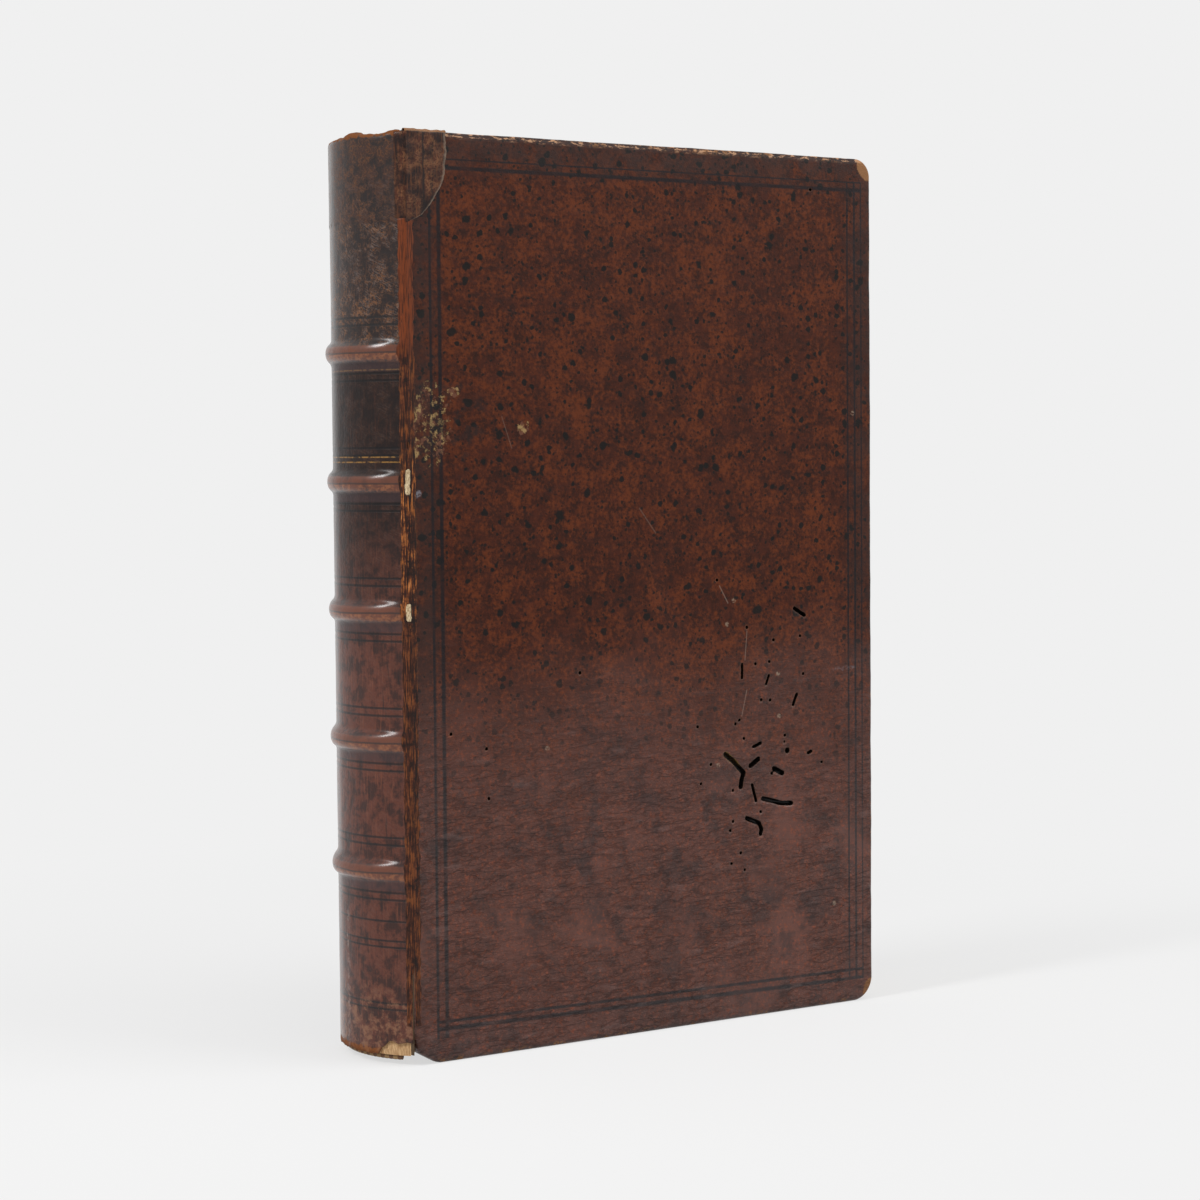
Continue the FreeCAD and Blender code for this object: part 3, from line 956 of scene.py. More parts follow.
leaf_lines = grid_lines(0.15 - shoulder_y, (-block_y - 0.01, 0.36), (-block_y, 0.01),
                        (block_y, 0.36), (block_y + 0.01, 0.01), (shoulder_y - 0.15, 0.36))
block_bm = grid_on_lines(grid_lines(0, (1, 1 / 16)), leaf_lines)
bottom = block_bm.faces[:]
for vert in block_bm.verts:
    share, y = vert.co.x, vert.co.z
    back_x = panel_axis - math.sqrt(block_r ** 2 - y * y)
    vert.co = Vector((back_x + share * (leaf_end(y) - back_x), y, leaves_low.z))
block_rows = grid_lines(leaves_low.z, (leaves_high.z, 8.0))
level = bottom
for z0, z1 in zip(block_rows, block_rows[1:]):
    result = bmesh.ops.extrude_face_region(block_bm, geom=level)
    bmesh.ops.translate(block_bm, vec=(0, 0, z1 - z0), verts=new_verts(result))
    if level is not bottom:
        bmesh.ops.delete(block_bm, geom=level, context="FACES")
    level = new_parts(result, bmesh.types.BMFace)
bmesh.ops.recalc_face_normals(block_bm, faces=block_bm.faces)
for vert in block_bm.verts:
    x, y, z = vert.co
    if z > leaves_high.z - 0.01:
        vert.co.z -= edge_step + leaf_relief(81, y, x)
    if z < leaves_low.z + 0.01:
        vert.co.z += edge_step + leaf_relief(83, y, x)
    if abs(y) < block_y + 0.005 and x > leaf_end(y) - 0.01:
        vert.co.x -= edge_step + leaf_relief(85, y, z)
bmesh.ops.remove_doubles(block_bm, verts=block_bm.verts[:], dist=0.02)
print("leaves:", len(block_bm.faces), "faces")

# %% [markdown]
# ## Endbands
#
# Headband and tailband are thin cords over which thread in two colours is sewn, turn by turn. They
# show only from above and below, between the leaves and the spine. A circle spun about the spine's
# axis makes the bar, and its radius swells at each turn of the thread.

# %% Thread-wrapped bars
thread_pitch = 0.55


def endband(node):
    """Bar on the line of a CAD endband, with a swelling for every turn of thread."""
    low, high = node_box(node)
    radius = (high.z - low.z) / 2 - 0.08
    middle_z = (low.z + high.z) / 2
    centre_r = panel_axis - low.x - radius - 0.1
    reach = math.acos((panel_axis - shoulder_x) / (centre_r - radius))
    bm = bmesh.new()
    circle = bmesh.ops.create_circle(bm, segments=10, radius=radius)["verts"]
    for vert in circle:
        vert.co = Vector((-centre_r + vert.co.x, 0, vert.co.y))
    bmesh.ops.rotate(bm, verts=circle, cent=(0, 0, 0),
                     matrix=Quaternion((0, 0, 1), -reach).to_matrix())
    bmesh.ops.spin(bm, geom=bm.edges[:], cent=(0, 0, 0), axis=(0, 0, 1), angle=2 * reach,
                   steps=150)
    bmesh.ops.holes_fill(bm, edges=bm.edges[:], sides=0)
    bmesh.ops.recalc_face_normals(bm, faces=bm.faces)
    for vert in bm.verts:
        turn = math.atan2(vert.co.y, -vert.co.x)
        arm = math.hypot(vert.co.x, vert.co.y) - centre_r
        swell = 1 - 0.10 * abs(math.sin(turn * centre_r / thread_pitch))
        distance_out = centre_r + arm * swell
        vert.co = Vector((panel_axis - distance_out * math.cos(turn),
                          distance_out * math.sin(turn), middle_z + vert.co.z * swell))
    return bm


headband_bm = endband("headband")
tailband_bm = endband("tailband")
print("endbands:", len(headband_bm.faces) + len(tailband_bm.faces), "faces")

# %% [markdown]
# ## Inner hinges
#
# Inside each joint a strip of paper goes on from the pastedown to the flyleaf. Closed, it is folded
# down into the gap beside the leaves, and when the cover opens it becomes one flat wall. It is laid
# out as a narrow U.

# %% Folded paper strips
def inner_hinge(rows):
    """Narrow U from the leaves' side down to the joint and up to the inside of the board."""
    flyleaf_y = node_box("front_flyleaf")[0].y
    pastedown_y = node_box("front_pastedown")[1].y
    section = [(-0.30, flyleaf_y), (-0.30, -22.0), (-0.30, -24.3), (-0.15, -24.6), (0.0, -24.68),
               (0.15, -24.6), (0.26, -24.3), (0.26, -22.0), (0.26, pastedown_y)]
    bm = grid_on_lines(list(range(len(section))), rows)
    for vert in bm.verts:
        x, y = section[round(vert.co.x)]
        vert.co = Vector((joint_x + x, y, vert.co.z))
    return bm


hinge_rows = grid_lines(leaves_low.z, (leaves_high.z, 6.0))
front_hinge_bm = inner_hinge(hinge_rows)
back_hinge_bm = inner_hinge(hinge_rows)
mirror(back_hinge_bm)
print("inner hinges made")

# %% Bare cords at the front joint
def bare_cord(band, half_height):
    """Frayed cord seen through a split of the joint."""
    rows = grid_lines(band - half_height, (band + half_height, 0.35))
    bm = joint_strip(rows, 1.3, 1.0, 0.12, 0.1, 66)
    for vert in bm.verts:
        vert.co.y -= 0.06 * rough(67, vert.co.x / 0.3, vert.co.z / 1.5)
    thicken_strip(bm, 0.1)
    return bm


upper_cord_bm = bare_cord(band_heights[3], 4.4)
lower_cord_bm = bare_cord(band_heights[2], 3.0)
print("bare cords made")

# %% [markdown]
# ## Sprinkled calf
#
# The binder brushed the skin brown, then flicked it with an iron wash that bit into it as small
# blue-black spots. Three centuries of handling have rubbed the middle orange, darkened the margins
# and polished the lower third, cockled by damp. That third is painted a lighter purple-brown, partly
# its own tone and partly painted sheen, and its folds get painted shade in their furrows and painted
# highlights on their crests. The skin is not painted as an image: each of these is a mask, noise for
# the mottling, cells for the sprinkling, distances from the edges for the ruled fillets and the
# wear.

# %% Masks that the calf finishes share
def patch(x, z, at, size):
    """A soft round patch about a place on the cover, measured from the joint and the tail."""
    across = (x - at[0]) / size[0]
    along = (z - at[1]) / size[1]
    return (across * across + along * along).ramp(1.25, 0.35)


def stroke(x, z, start, end, width):
    """A thin straight stroke between two places on the cover."""
    dx, dz = end[0] - start[0], end[1] - start[1]
    length = math.hypot(dx, dz)
    along = ((x - start[0]) * dx + (z - start[1]) * dz) / (length * length)
    held = along.at_least(0.0).at_most(1.0)
    from_x = x - start[0] - held * dx
    from_z = z - start[1] - held * dz
    return (from_x * from_x + from_z * from_z).math("SQRT").ramp(width, width * 0.3)


def sprinkle(flat, size, share, spread):
    """Spots in cells of one size: share of the cells that have one, and how large they grow."""
    stirred = flat.stir(size * 0.55, size * 0.55)
    gap = stirred.cells(size)
    chance = stirred.cells(size, output="Color").split()[0]
    limit = (chance - (1 - share)) * (spread / share)
    return (limit - gap).ramp(-0.01, 0.08)


def fine_grain(finish, place, wrinkles):
    """Pores of the skin, soft unevenness and creases, as bumps."""
    pores = place.stir(0.8, 0.3).cells(0.62)
    finish.relief(pores.ramp(0.0, 0.75), 0.03)
    finish.relief(place.noise(1.3, 4.0, 0.6), 0.06)
    finish.relief(place.noise(6.0, 3.0, 0.5), 0.25)
    finish.relief(wrinkles, 0.22)


print("mask helpers ready")

# %% Sprinkled calf of the covers
def cover_calf(name, front):
    finish = Finish(name, (44, 19, 11), 0.5, 0.10, 0.34)
    place, x_raw, depth, z = finish.place()
    x = x_raw - joint_x
    flat = join(x, depth * 0.35, z)
    wide = flat.noise(58)
    patchy = flat.noise(15, 5.0, 0.62)
    small = flat.noise(3.4, 5.0, 0.7)
    foxy = flat.noise(1.5, 4.0, 0.7)
    upper = (z + (wide - 0.5) * 110).ramp(66, 172)
    finish.cover((66, 29, 16), small.ramp(0.36, 0.62))
    middling = flat.noise(6, 4.0, 0.6)
    glow = (patchy * 0.25 + middling * 0.35 + foxy * 0.4).ramp(0.45, 0.62)
    finish.cover((100, 47, 20), glow * 0.8)
    finish.cover((36, 18, 13), foxy.ramp(0.47, 0.34) * 0.3)
    margin = brightest([x.ramp(186, 199), z.ramp(303, 314), z.ramp(16, 7), x.ramp(17, 7)])
    margin = margin * flat.noise(9, 4.0).ramp(0.2, 0.6)
    finish.cover((40, 24, 20), margin * 0.62)
    # The lower third is painted lighter and greyer: partly its own polished tone, partly painted
    # sheen.
    lower_zone_tone_and_sheen = (1 - upper) * (0.55 + 0.45 * flat.noise(20, 4.0).ramp(0.3, 0.7))
    lower_colour_and_sheen = finish.mix(paint(102, 59, 47), paint(134, 66, 40), foxy.ramp(0.52, 0.66))
    finish.cover(lower_colour_and_sheen, lower_zone_tone_and_sheen * 0.8)
    dark_cloud = flat.noise(13, 5.0, 0.65).ramp(0.50, 0.66)
    finish.cover((32, 22, 22), dark_cloud * (0.06 + 0.6 * lower_zone_tone_and_sheen))
    crowd = flat.noise(26).ramp(0.12, 0.36) * (0.30 + 0.70 * upper)
    spots = brightest([sprinkle(flat, 6.2, 0.72, 0.33),
                       sprinkle(flat, 3.4, 0.70, 0.40),
                       sprinkle(flat, 1.7, 0.50, 0.42) * 0.9])
    spots = spots * crowd
    finish.cover((17, 16, 15), spots * 0.95)
    broken = flat.noise(6).ramp(0.30, 0.52)
    lines = brightest([x.line(9.4, 1.25), x.line(13.3, 1.1), x.line(192.0, 0.6),
                       x.line(195.4, 0.7), x.line(198.7, 0.6), z.line(307.6, 1.0),
                       z.line(310.6, 0.5), (z + x * 0.011).line(14.4, 0.8),
                       (z + x * 0.016).line(12.0, 1.1)])
    ruled = z.between(8.6, 310.6, 0.4) * x.between(9.4, 198.7, 0.4)
    lines = lines * ruled
    finish.cover((18, 16, 20), lines * (0.5 + 0.4 * broken))
    rim = brightest([x.ramp(201.6, 203.8), z.ramp(317.0, 319.4), z.ramp(2.4, 0.6)])
    chips = flat.noise(2.2, 5.0, 0.7)
    finish.cover((24, 16, 15), rim * 0.55)
    worn = rim * (chips * 0.6 + flat.noise(14, 2.0) * 0.4).ramp(0.54, 0.60)
    corners = brightest([patch(x, z, (202.5, 318), (6.5, 7.5)),
                         patch(x, z, (203, 3), (5.0, 6.0))])
    worn = worn.at_least((corners * 0.9 + chips - 0.5).ramp(0.38, 0.66))
    finish.cover((150, 108, 74), worn * 0.85)
    streaky = streaked(x / 3.5, 0.0, z / 1.2, 4.0, 0.7)
    # Pale specks along the head edge: partly rubbed wear, partly painted glints of light.
    head_wear_and_glints = z.ramp(317.2, 318.6) * streaky.ramp(0.52, 0.60)
    finish.cover((186, 142, 108), head_wear_and_glints * 0.9)
    long_folds = join(x / 15 + z / 60, 0.0, z / 3.6 - x / 55).stir(1.2, 0.5)
    folds = long_folds.noise(1.0, 4.0, 0.6)
    short_folds = join(x / 5, 0.0, z / 2.4 + x / 30).stir(1.0, 0.5)
    fine_folds = (short_folds.noise(1.0, 4.0, 0.65) - 0.5).distance().ramp(0.07, 0.0)
    net = join(x / 2.2, 0.0, z / 1.1).stir(0.9, 0.7).cells(1.0, "DISTANCE_TO_EDGE").ramp(0.14, 0.0)
    strained = flat.noise(30).ramp(0.25, 0.50) * (0.06 + 0.94 * (1 - upper))
    deep = (folds - 0.5).distance().ramp(0.06, 0.0) * (folds * 9).math("FRACT").ramp(0.0, 0.4)
    furrow = brightest([deep, fine_folds * 0.5, net * 0.6]) * strained
    # The creases are painted darker: painted shade in the furrows.
    finish.cover((24, 15, 14), furrow * 0.42)
    # The crests of the folds are painted paler: painted highlights.
    finish.cover((120, 96, 92), folds.ramp(0.60, 0.66) * strained * 0.18)
    if front:
        front_damage(finish, flat, x, z, chips)
    finish.surface(0.42 + spots * 0.12 + 0.14 * small + worn * 0.3)
    shine = (0.05 + 0.65 * (1 - upper) + 0.12 * margin) * (0.75 + 0.25 * patchy)
    finish.link("Coat Weight", shine * (1 - worn) * (1 - 0.6 * furrow))
    fine_grain(finish, place, 1 - furrow)
    finish.relief(folds * strained, 2.6)
    return finish


def front_damage(finish, flat, x, z, chips):
    """Rubs, scratches and worm damage that only the front cover has."""
    stirred = flat.stir(3.0, 2.6)
    sx, _, sz = stirred.split()
    rubbed_zone = brightest([patch(x, z, (9, 221), (11, 19)) * 0.85,
                             patch(sx, sz, (11.5, 219), (3.6, 8.0)),
                             patch(sx, sz, (4.0, 226), (2.4, 5.2)),
                             patch(sx, sz, (3.6, 212), (1.6, 4.4)),
                             patch(sx, sz, (18.7, 231.5), (3.4, 2.2)),
                             patch(sx, sz, (46.7, 219.4), (3.4, 3.2))])
    ragged = flat.noise(2.6, 5.0, 0.72) * 0.6 + flat.noise(7) * 0.4
    flakes = (rubbed_zone * 0.26 + ragged).ramp(0.74, 0.80)
    finish.cover((104, 68, 52), flakes * 0.8)
    palest = (rubbed_zone * 0.30 + chips).ramp(0.79, 0.88)
    finish.cover((156, 128, 84), palest * 0.85)
    cloud = patch(sx, sz, (14, 216), (22, 24)) * flat.noise(5, 4.0).ramp(0.5, 0.35)
    finish.cover((30, 25, 25), cloud * (1 - flakes) * 0.6)
    scuff = brightest([patch(sx, sz, (4.0, 196.7), (1.8, 1.6)),
                       patch(sx, sz, (190, 128), (6.0, 1.0)) * 0.4])
    finish.cover((132, 132, 140), scuff * chips.ramp(0.42, 0.62) * 0.7)
    strokes = brightest([stroke(x, z, (131.4, 160.9), (135.2, 154.5), 0.35),
                         stroke(x, z, (143.9, 143.8), (142.9, 133.1), 0.3),
                         stroke(x, z, (143.7, 121.9), (141.3, 112.4), 0.3),
                         stroke(x, z, (96, 190), (103, 181), 0.35) * 0.5,
                         stroke(x, z, (38, 223), (42, 212), 0.3) * 0.5])
    finish.cover((126, 104, 92), strokes * 0.55)
    pale_spots = brightest([patch(x, z, at, (1.0, 1.0)) for at in (
        (137.9, 155.4), (134.8, 146.7), (158.3, 127.3), (130.4, 95.0), (158.7, 111.4),
        (55.6, 106.2), (194.3, 224.0), (184.6, 38.6))])
    pale_spots = pale_spots * flat.noise(0.9, 3.0, 0.6).ramp(0.40, 0.56)
    finish.cover((138, 118, 100), pale_spots * 0.7)
    fibre = streaked(x * 2.2, 0.0, z / 3.0, 4.0, 0.65).ramp(0.42, 0.58)
    raw = (x + (chips - 0.5) * 5).ramp(3.6, 1.4) * z.between(30, 236, 12)
    finish.cover((128, 82, 52), raw * (0.25 + 0.6 * fibre))
    gnawed = finish.attribute("gnawed")
    finish.cover((96, 68, 52), gnawed.ramp(0.02, 0.25) * 0.35)
    # The walls and floors of the holes are painted darker with depth, to near black at the bottom:
    # painted shade.
    finish.cover((34, 22, 16), gnawed.ramp(0.2, 0.5))
    yellow = patch(sx, sz, (136, 96), (5, 6)) * chips.ramp(0.40, 0.50)
    finish.cover((132, 104, 56), gnawed.ramp(0.1, 0.4) * yellow)
    finish.cover((12, 9, 8), gnawed.ramp(0.6, 0.9) * 0.9)


front_finish = cover_calf("sprinkled_calf_front", True)
back_finish = cover_calf("sprinkled_calf_back", False)
print("calf finishes:", len(front_finish.nodes), "and", len(back_finish.nodes), "nodes")

# %% [markdown]
# ## Calf of the spine
#
# The spine took the light and the hands: the crests of the bands are rubbed to orange and tan, with
# dark blind lines ruled above and below each, and the panels get redder towards the tail. Masks
# measured from the nearest band place all of this, because the five bands are evenly spaced.

# %% Spine finish
def fibres_of(place, size, width):
    """Thin pale lines in all directions, as where a surface has cracked and been rubbed."""
    stirred = place.stir(size * 1.4, size)
    return stirred.noise(size, 3.0, 0.6).line(0.5, width, 0.3)


def spine_calf_finish(name):
    finish = Finish(name, (34, 20, 17), 0.4, 0.06, 0.25)
    place, x, y, z = finish.place()
    pitch = band_heights[1] - band_heights[0]
    gap = (z - band_heights[0]).math("WRAP", pitch / 2, -pitch / 2)
    banded = z.between(46, 266, 0.5)
    wide = place.noise(30)
    patchy = place.noise(5, 5.0, 0.65)
    streaks = streaked(x * 1.3, y * 1.3, z / 9)
    chips = place.noise(1.8, 5.0, 0.7)
    lower = (z + (wide - 0.5) * 40).ramp(215, 120)
    finish.cover((90, 45, 32), lower * 0.85)
    finish.cover((22, 15, 15), patchy.ramp(0.56, 0.40) * 0.7)
    finish.cover((112, 62, 42), streaks.ramp(0.52, 0.72) * (0.12 + 0.5 * lower))
    finish.cover((20, 14, 14), streaks.ramp(0.44, 0.30) * 0.7)
    fibres = fibres_of(place, 3.4, 0.030).at_least(fibres_of(place, 1.7, 0.032) * 0.8)
    fibre_zone = z.ramp(236, 252) * wide.ramp(0.25, 0.55) * 0.85 + 0.10
    fibres = fibres * fibre_zone * patchy.ramp(0.36, 0.62)
    finish.cover((136, 90, 56), fibres * 0.68)
    slanting = join((y + z * 0.6) / 7, (z - y * 0.6) / 0.9, 0.0)
    scratches = (slanting.noise(1.0, 3.0, 0.6) - 0.5).distance().ramp(0.05, 0.01)
    scratches = scratches * patchy.ramp(0.46, 0.60) * (0.2 + 0.8 * z.between(250, 300, 8))
    finish.cover((128, 114, 108), scratches * 0.32)
    above = gap.line(9.0, 0.6).at_least(gap.line(11.6, 0.55))
    below = gap.line(-7.4, 0.6).at_least(gap.line(-9.9, 0.55))
    lines = above.at_least(below) * banded
    tail_lines = brightest([z.line(at, 0.5) for at in (50.0, 43.2, 41.0, 21.5, 19.4)])
    lines = lines.at_least(tail_lines)
    finish.cover((14, 12, 14), lines * 0.8)
    gilt = brightest([z.line(at, 0.32) for at in (239.0, 207.6, 209.3)])
    finish.cover((158, 116, 58), gilt * chips.ramp(0.42, 0.56) * 0.7)
    crest = gap.between(-2.6, 1.6, 1.4) * banded
    rubbed = (crest * 0.9 + patchy * 0.9 - 0.8).ramp(0.12, 0.62)
    finish.cover((44, 23, 17), crest * 0.6)
    finish.cover((112, 56, 30), rubbed * 0.6)
    low_side = gap.between(-3.2, -1.0, 0.8) * banded
    finish.cover((142, 84, 46), low_side * chips.ramp(0.44, 0.60) * 0.65)
    seam = (gap + (wide - 0.5) * 1.5).line(-0.4, 0.45) * banded
    finish.cover((24, 15, 13), seam * 0.7)
    # Under each band the calf is painted greyer: painted sheen.
    under = gap.between(-6.4, -3.4, 0.8) * banded
    finish.cover((58, 44, 46), under * 0.6)
    torn_z = z + (patchy - 0.5) * 5
    later = torn_z.ramp(288.5, 289.5)
    finish.cover((58, 32, 22), patchy.ramp(0.42, 0.6) * 0.6 * later)
    ends = z.ramp(316.2, 318.6).at_least(z.ramp(8.0, 4.5))
    raw = (ends * 0.8 + (chips - 0.5) * 1.6).ramp(0.50, 0.74)
    finish.cover((128, 78, 44), raw * 0.75)
    tail_rub = z.ramp(34, 16) * (chips * 0.5 + patchy * 0.5).ramp(0.48, 0.60)
    finish.cover((138, 98, 72), tail_rub * 0.6)
    hinge = y.ramp(-22.6, -24.2) * z.between(20, 240, 10)
    fibre = streaked(x * 2.4, y * 2.4, z / 4, 4.0, 0.65)
    finish.cover((140, 84, 48), hinge * fibre.ramp(0.46, 0.58) * 0.75)
    scuff = (y + (patchy - 0.5) * 5).line(3.0, 1.4) * z.ramp(60, 44)
    finish.cover((128, 104, 96), scuff * chips.ramp(0.46, 0.6) * 0.7)
    finish.surface(0.32 + 0.2 * patchy + 0.25 * raw)
    polish = 0.3 + 0.25 * lower + 0.6 * crest + 0.25 * z.ramp(238, 250) + 0.5 * y.ramp(4, 12)
    finish.link("Coat Weight", polish.at_most(1.0) * (1 - raw) * (1 - 0.5 * fibres))
    finish.relief(streaks, 0.12)
    finish.relief(place.noise(0.9, 4.0, 0.6), 0.06)
    finish.relief(patchy, 0.55)
    finish.relief(1 - lines, 0.14)
    finish.relief(1 - fibres, 0.10)
    return finish


spine_finish = spine_calf_finish("spine_calf")
print("spine finish:", len(spine_finish.nodes), "nodes")

# %% Cracked leather over the front joint
def joint_finish(name):
    """Smooth orange-brown above, flaking tan and orange lower down."""
    finish = Finish(name, (34, 18, 13), 0.5, 0.06, 0.3)
    place, x, y, z = finish.place()
    thin = streaked(x * 2.6, y * 2.6, z / 6)
    patchy = place.noise(4, 5.0, 0.65)
    smooth = z.ramp(238, 252)
    finish.cover((84, 41, 23), thin.ramp(0.40, 0.62))
    bright_zone = z.between(160, 205, 8) * 0.65 + z.between(14, 245, 6) * 0.35
    flaking = (1 - smooth) * (thin * 0.6 + patchy * 0.5).ramp(0.54, 0.64) * bright_zone
    finish.cover((164, 98, 52), flaking * 0.9)
    finish.cover((200, 150, 100), (flaking * thin).ramp(0.55, 0.7) * 0.6)
    finish.cover((122, 58, 26), smooth * (0.3 + 0.5 * thin.ramp(0.4, 0.6)))
    finish.cover((20, 13, 11), patchy.ramp(0.46, 0.36) * 0.8 * (1 - 0.6 * smooth))
    finish.cover((16, 10, 9), thin.ramp(0.40, 0.33) * 0.8)
    finish.surface(0.42 + 0.3 * flaking, 0.25 * (1 - flaking))
    finish.relief(thin, 0.25)
    return finish


cracked_finish = joint_finish("cracked_joint_calf")
print("joint finish ready")

# %% Later leather of the flap
def later_finish(name):
    finish = Finish(name, (34, 20, 17), 0.42, 0.06, 0.25)
    place, x, y, z = finish.place()
    patchy = place.noise(6, 5.0, 0.6)
    cracks = fibres_of(place, 3.4, 0.045).at_least(fibres_of(place, 1.7, 0.05) * 0.7)
    streaks = streaked(x * 1.3, y * 1.3, z / 9)
    finish.cover((74, 38, 25), patchy.ramp(0.38, 0.62))
    finish.cover((18, 12, 12), streaks.ramp(0.50, 0.36) * 0.85)
    finish.cover((112, 66, 38), streaks.ramp(0.54, 0.68) * 0.6)
    finish.cover((140, 98, 66), cracks * patchy.ramp(0.40, 0.65) * 0.45)
    fold = (x - joint_x + (patchy - 0.5) * 2).line(7.5, 0.7)
    finish.cover((24, 18, 18), fold * 0.8)
    torn = finish.attribute("torn")
    finish.cover((136, 120, 106), torn * 0.75)
    rolled = (z.ramp(318.6, 320.0) * 0.8 + patchy - 0.5).ramp(0.3, 0.55)
    finish.cover((148, 104, 68), rolled * 0.8)
    finish.surface(0.40 + 0.2 * patchy + 0.2 * torn, 0.25 * (1 - torn))
    finish.relief(1 - cracks, 0.12)
    finish.relief(place.noise(1.1, 4.0, 0.6), 0.08)
    return finish


flap_finish = later_finish("later_calf")
print("flap finish ready")

# %% [markdown]
# ## Paper, board and thread
#
# The leaves' edges are lines of single sheets, darker where dust has settled at the head. Laid paper
# has fine wire lines; pasteboard is grey-brown with fibres; the cords are twisted hemp. Each is a
# stretched noise or a wave in the direction that the real thing was made in.

# %% Paper edges
def leaf_edge_finish(name):
    finish = Finish(name, (196, 172, 132), 0.85, 0.15)
    place, x, y, z = finish.place()
    sheets = streaked(x / 90, y / 0.28, z / 90, 2.0, 0.55)
    gatherings = streaked(x / 120, y / 3.2, z / 120, 2.0, 0.55)
    stain = place.noise(26, 4.0)
    finish.cover((222, 204, 168), sheets.ramp(0.38, 0.60))
    finish.cover((132, 104, 74), sheets.ramp(0.42, 0.30) * 0.7)
    finish.cover((160, 130, 94), gatherings.ramp(0.45, 0.32) * 0.5)
    finish.cover((120, 96, 72), stain.ramp(0.52, 0.70) * 0.45)
    finish.cover((116, 98, 80), z.ramp(314, 315.4) * 0.5)
    finish.surface(0.80 + 0.12 * sheets)
    finish.relief(sheets, 0.18)
    return finish


def laid_paper_finish(name):
    finish = Finish(name, (206, 188, 152), 0.8, 0.2)
    place, x, y, z = finish.place()
    wires = (z / 0.19 + place.noise(12) * 1.5).math("SINE")
    chains = (x / 4.0).math("SINE").ramp(0.97, 1.0)
    foxing = place.noise(5, 4.0, 0.5).ramp(0.64, 0.74)
    cloud = place.noise(45, 4.0)
    finish.cover((222, 206, 174), cloud.ramp(0.35, 0.65))
    finish.cover((190, 168, 130), (wires * 0.5 + 0.5) * 0.18)
    finish.cover((158, 120, 80), foxing * 0.5)
    edge = brightest([x.ramp(92, 104), z.ramp(24, 6), z.ramp(296, 314)])
    finish.cover((166, 132, 94), edge * (0.3 + 0.4 * cloud))
    glue = (x.ramp(-94.2, -95.2) * z.ramp(60, 42)).at_least(y.distance().ramp(20.60, 20.68))
    finish.cover((48, 32, 22), glue * 0.9)
    finish.surface(0.78 + 0.1 * cloud)
    finish.relief(wires * 0.5 + chains, 0.02)
    return finish


def fibre_finish(name, low, high, stretch, depth):
    """Plain fibrous stuff: board, lining or cord, with fibres stretched along an axis."""
    finish = Finish(name, low, 0.85, 0.15)
    place, x, y, z = finish.place()
    fibre = streaked(x / stretch[0], y / stretch[1], z / stretch[2])
    cloud = place.noise(9, 4.0)
    finish.cover(high, fibre.ramp(0.34, 0.66))
    finish.cover(low, cloud.ramp(0.5, 0.7) * 0.6)
    finish.surface(0.78 + 0.14 * fibre)
    finish.relief(fibre, depth)
    return finish


def thread_finish(name):
    """Two colours of thread by turns along the endband."""
    finish = Finish(name, (150, 122, 84), 0.7, 0.3)
    _, x, y, z = finish.place()
    turn = y.math("ARCTAN2", panel_axis - x)
    wave = (turn * (34 / thread_pitch)).math("SINE")
    strands = streaked(x * 3, y * 12, z * 3, 3.0, 0.55)
    finish.cover((104, 74, 52), wave.ramp(-0.1, 0.1))
    finish.cover((70, 52, 42), strands.ramp(0.5, 0.32) * 0.6)
    finish.surface(0.6 + 0.2 * strands)
    finish.relief(strands, 0.05)
    return finish


edge_finish = leaf_edge_finish("leaf_edges")
endpaper_finish = laid_paper_finish("endpaper")
board_finish = fibre_finish("pasteboard", (96, 76, 56), (148, 122, 92), (1.5, 0.3, 1.5), 0.12)
lining_finish = fibre_finish("lining_paper", (150, 112, 76), (200, 166, 124), (0.5, 0.5, 2.5), 0.1)
cord_finish = fibre_finish("hemp_cord", (150, 124, 92), (216, 196, 160), (0.5, 0.5, 1.1), 0.1)
thread = thread_finish("endband_thread")
print("paper, board, cord and thread ready")

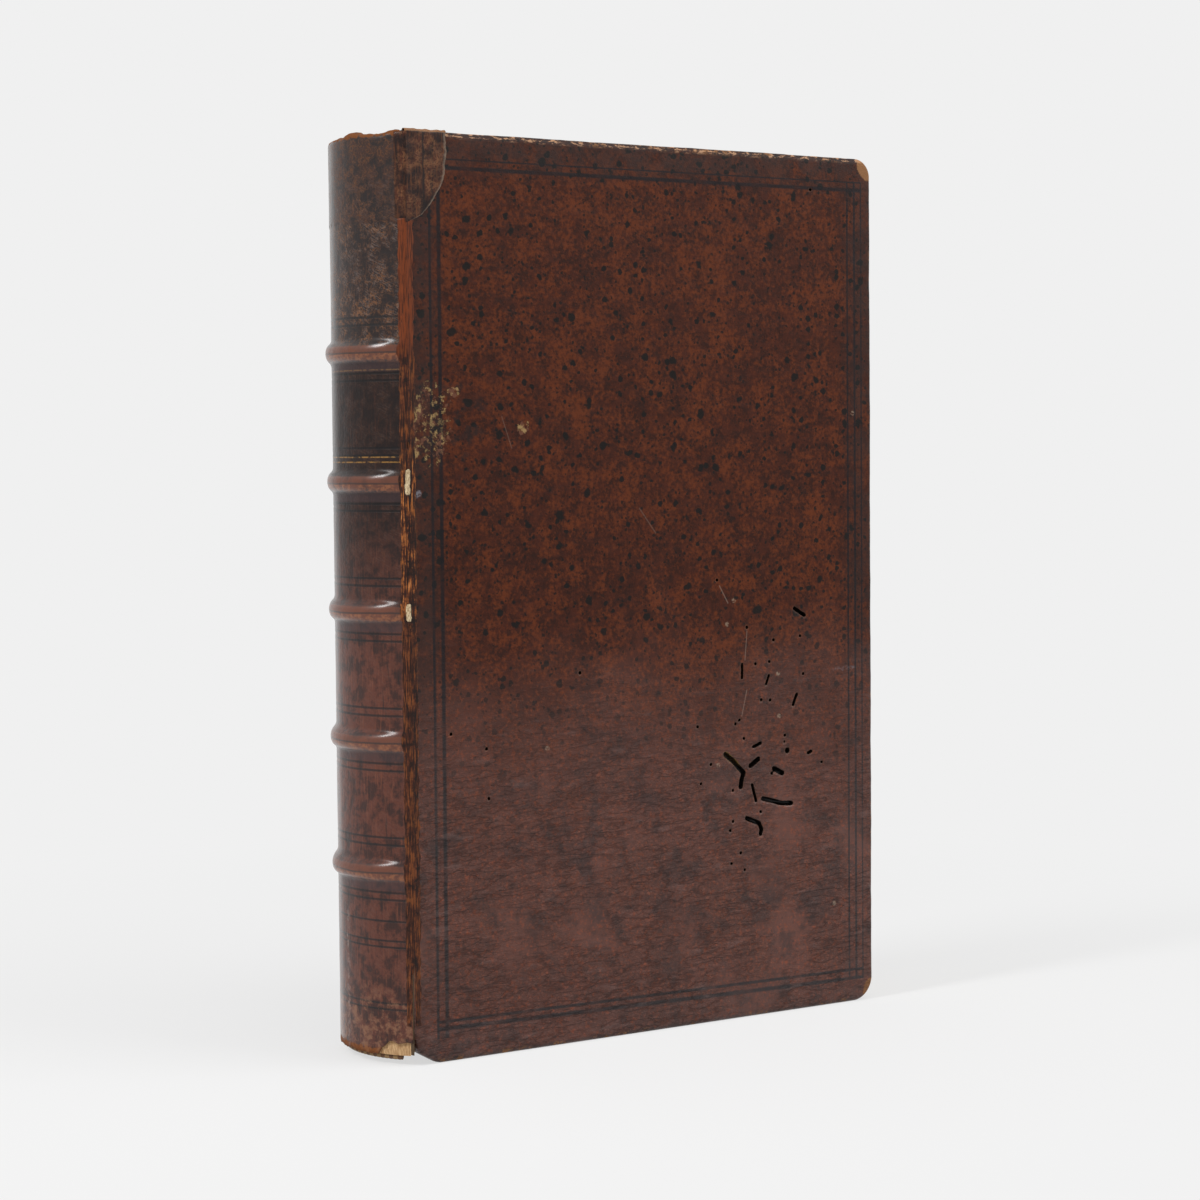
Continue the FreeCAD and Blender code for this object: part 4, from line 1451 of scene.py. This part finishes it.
# %% [markdown]
# ## Putting the pieces on their bodies
#
# Most pieces name the body that they move with and the CAD solids that they stand for; the pieces
# over the joints stay in place with no body. The CAD pieces that still show, such as the endpapers,
# keep their shape and get a finish.

# %% Pieces and bodies
def dress(name, bm, finish, body, slot, *nodes):
    piece = finished_piece(name, bm, finish)
    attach(piece, body)
    if nodes:
        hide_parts(*nodes)
    return piece


dress("front_calf", front_bm, front_finish, "front_cover", "sprinkled_calf",
      "front_cover_leather", "front_board")
dress("back_calf", back_bm, back_finish, "back_cover", "sprinkled_calf", "back_cover_leather")
dress("spine_calf", spine_bm, spine_finish, "book_block", "spine_calf", "spine_leather")
dress("head_flap", flap_bm, flap_finish, "front_cover", "later_calf", "head_lap")
dress("leaf_block", block_bm, edge_finish, "book_block", "leaves", "text_block")
dress("sewn_headband", headband_bm, thread, "book_block", "sewn_endband", "headband")
dress("sewn_tailband", tailband_bm, thread, "book_block", "sewn_endband", "tailband")


def across_joint(name, bm, finish):
    """A piece that lies over the hinge line, between the leaves and a cover, left in place with no
    body.
    """
    piece = finished_piece(name, bm, finish)
    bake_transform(piece)
    return piece


across_joint("front_joint_skin", joint_bm, cracked_finish)
across_joint("head_joint_skin", head_joint_bm, flap_finish)
across_joint("back_joint_skin", back_joint_bm, spine_finish)
across_joint("front_inner_hinge", front_hinge_bm, endpaper_finish)
across_joint("back_inner_hinge", back_hinge_bm, endpaper_finish)
across_joint("bare_cord_upper", upper_cord_bm, cord_finish)
across_joint("bare_cord_lower", lower_cord_bm, cord_finish)

# %% Finishes of the CAD pieces that show
node_finishes = {"front_flyleaf": endpaper_finish, "back_flyleaf": endpaper_finish,
                 "front_pastedown": endpaper_finish, "back_pastedown": endpaper_finish,
                 "back_board": board_finish, "spine_linings": lining_finish,
                 "front_cord_slips": cord_finish, "back_cord_slips": cord_finish}
for number in range(1, 6):
    node_finishes["sewing_cord_%d" % number] = cord_finish
for name, finish in node_finishes.items():
    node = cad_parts[name]
    node.data.materials.clear()
    node.data.materials.append(finish.material)
print(len(node_finishes), "CAD nodes dressed")
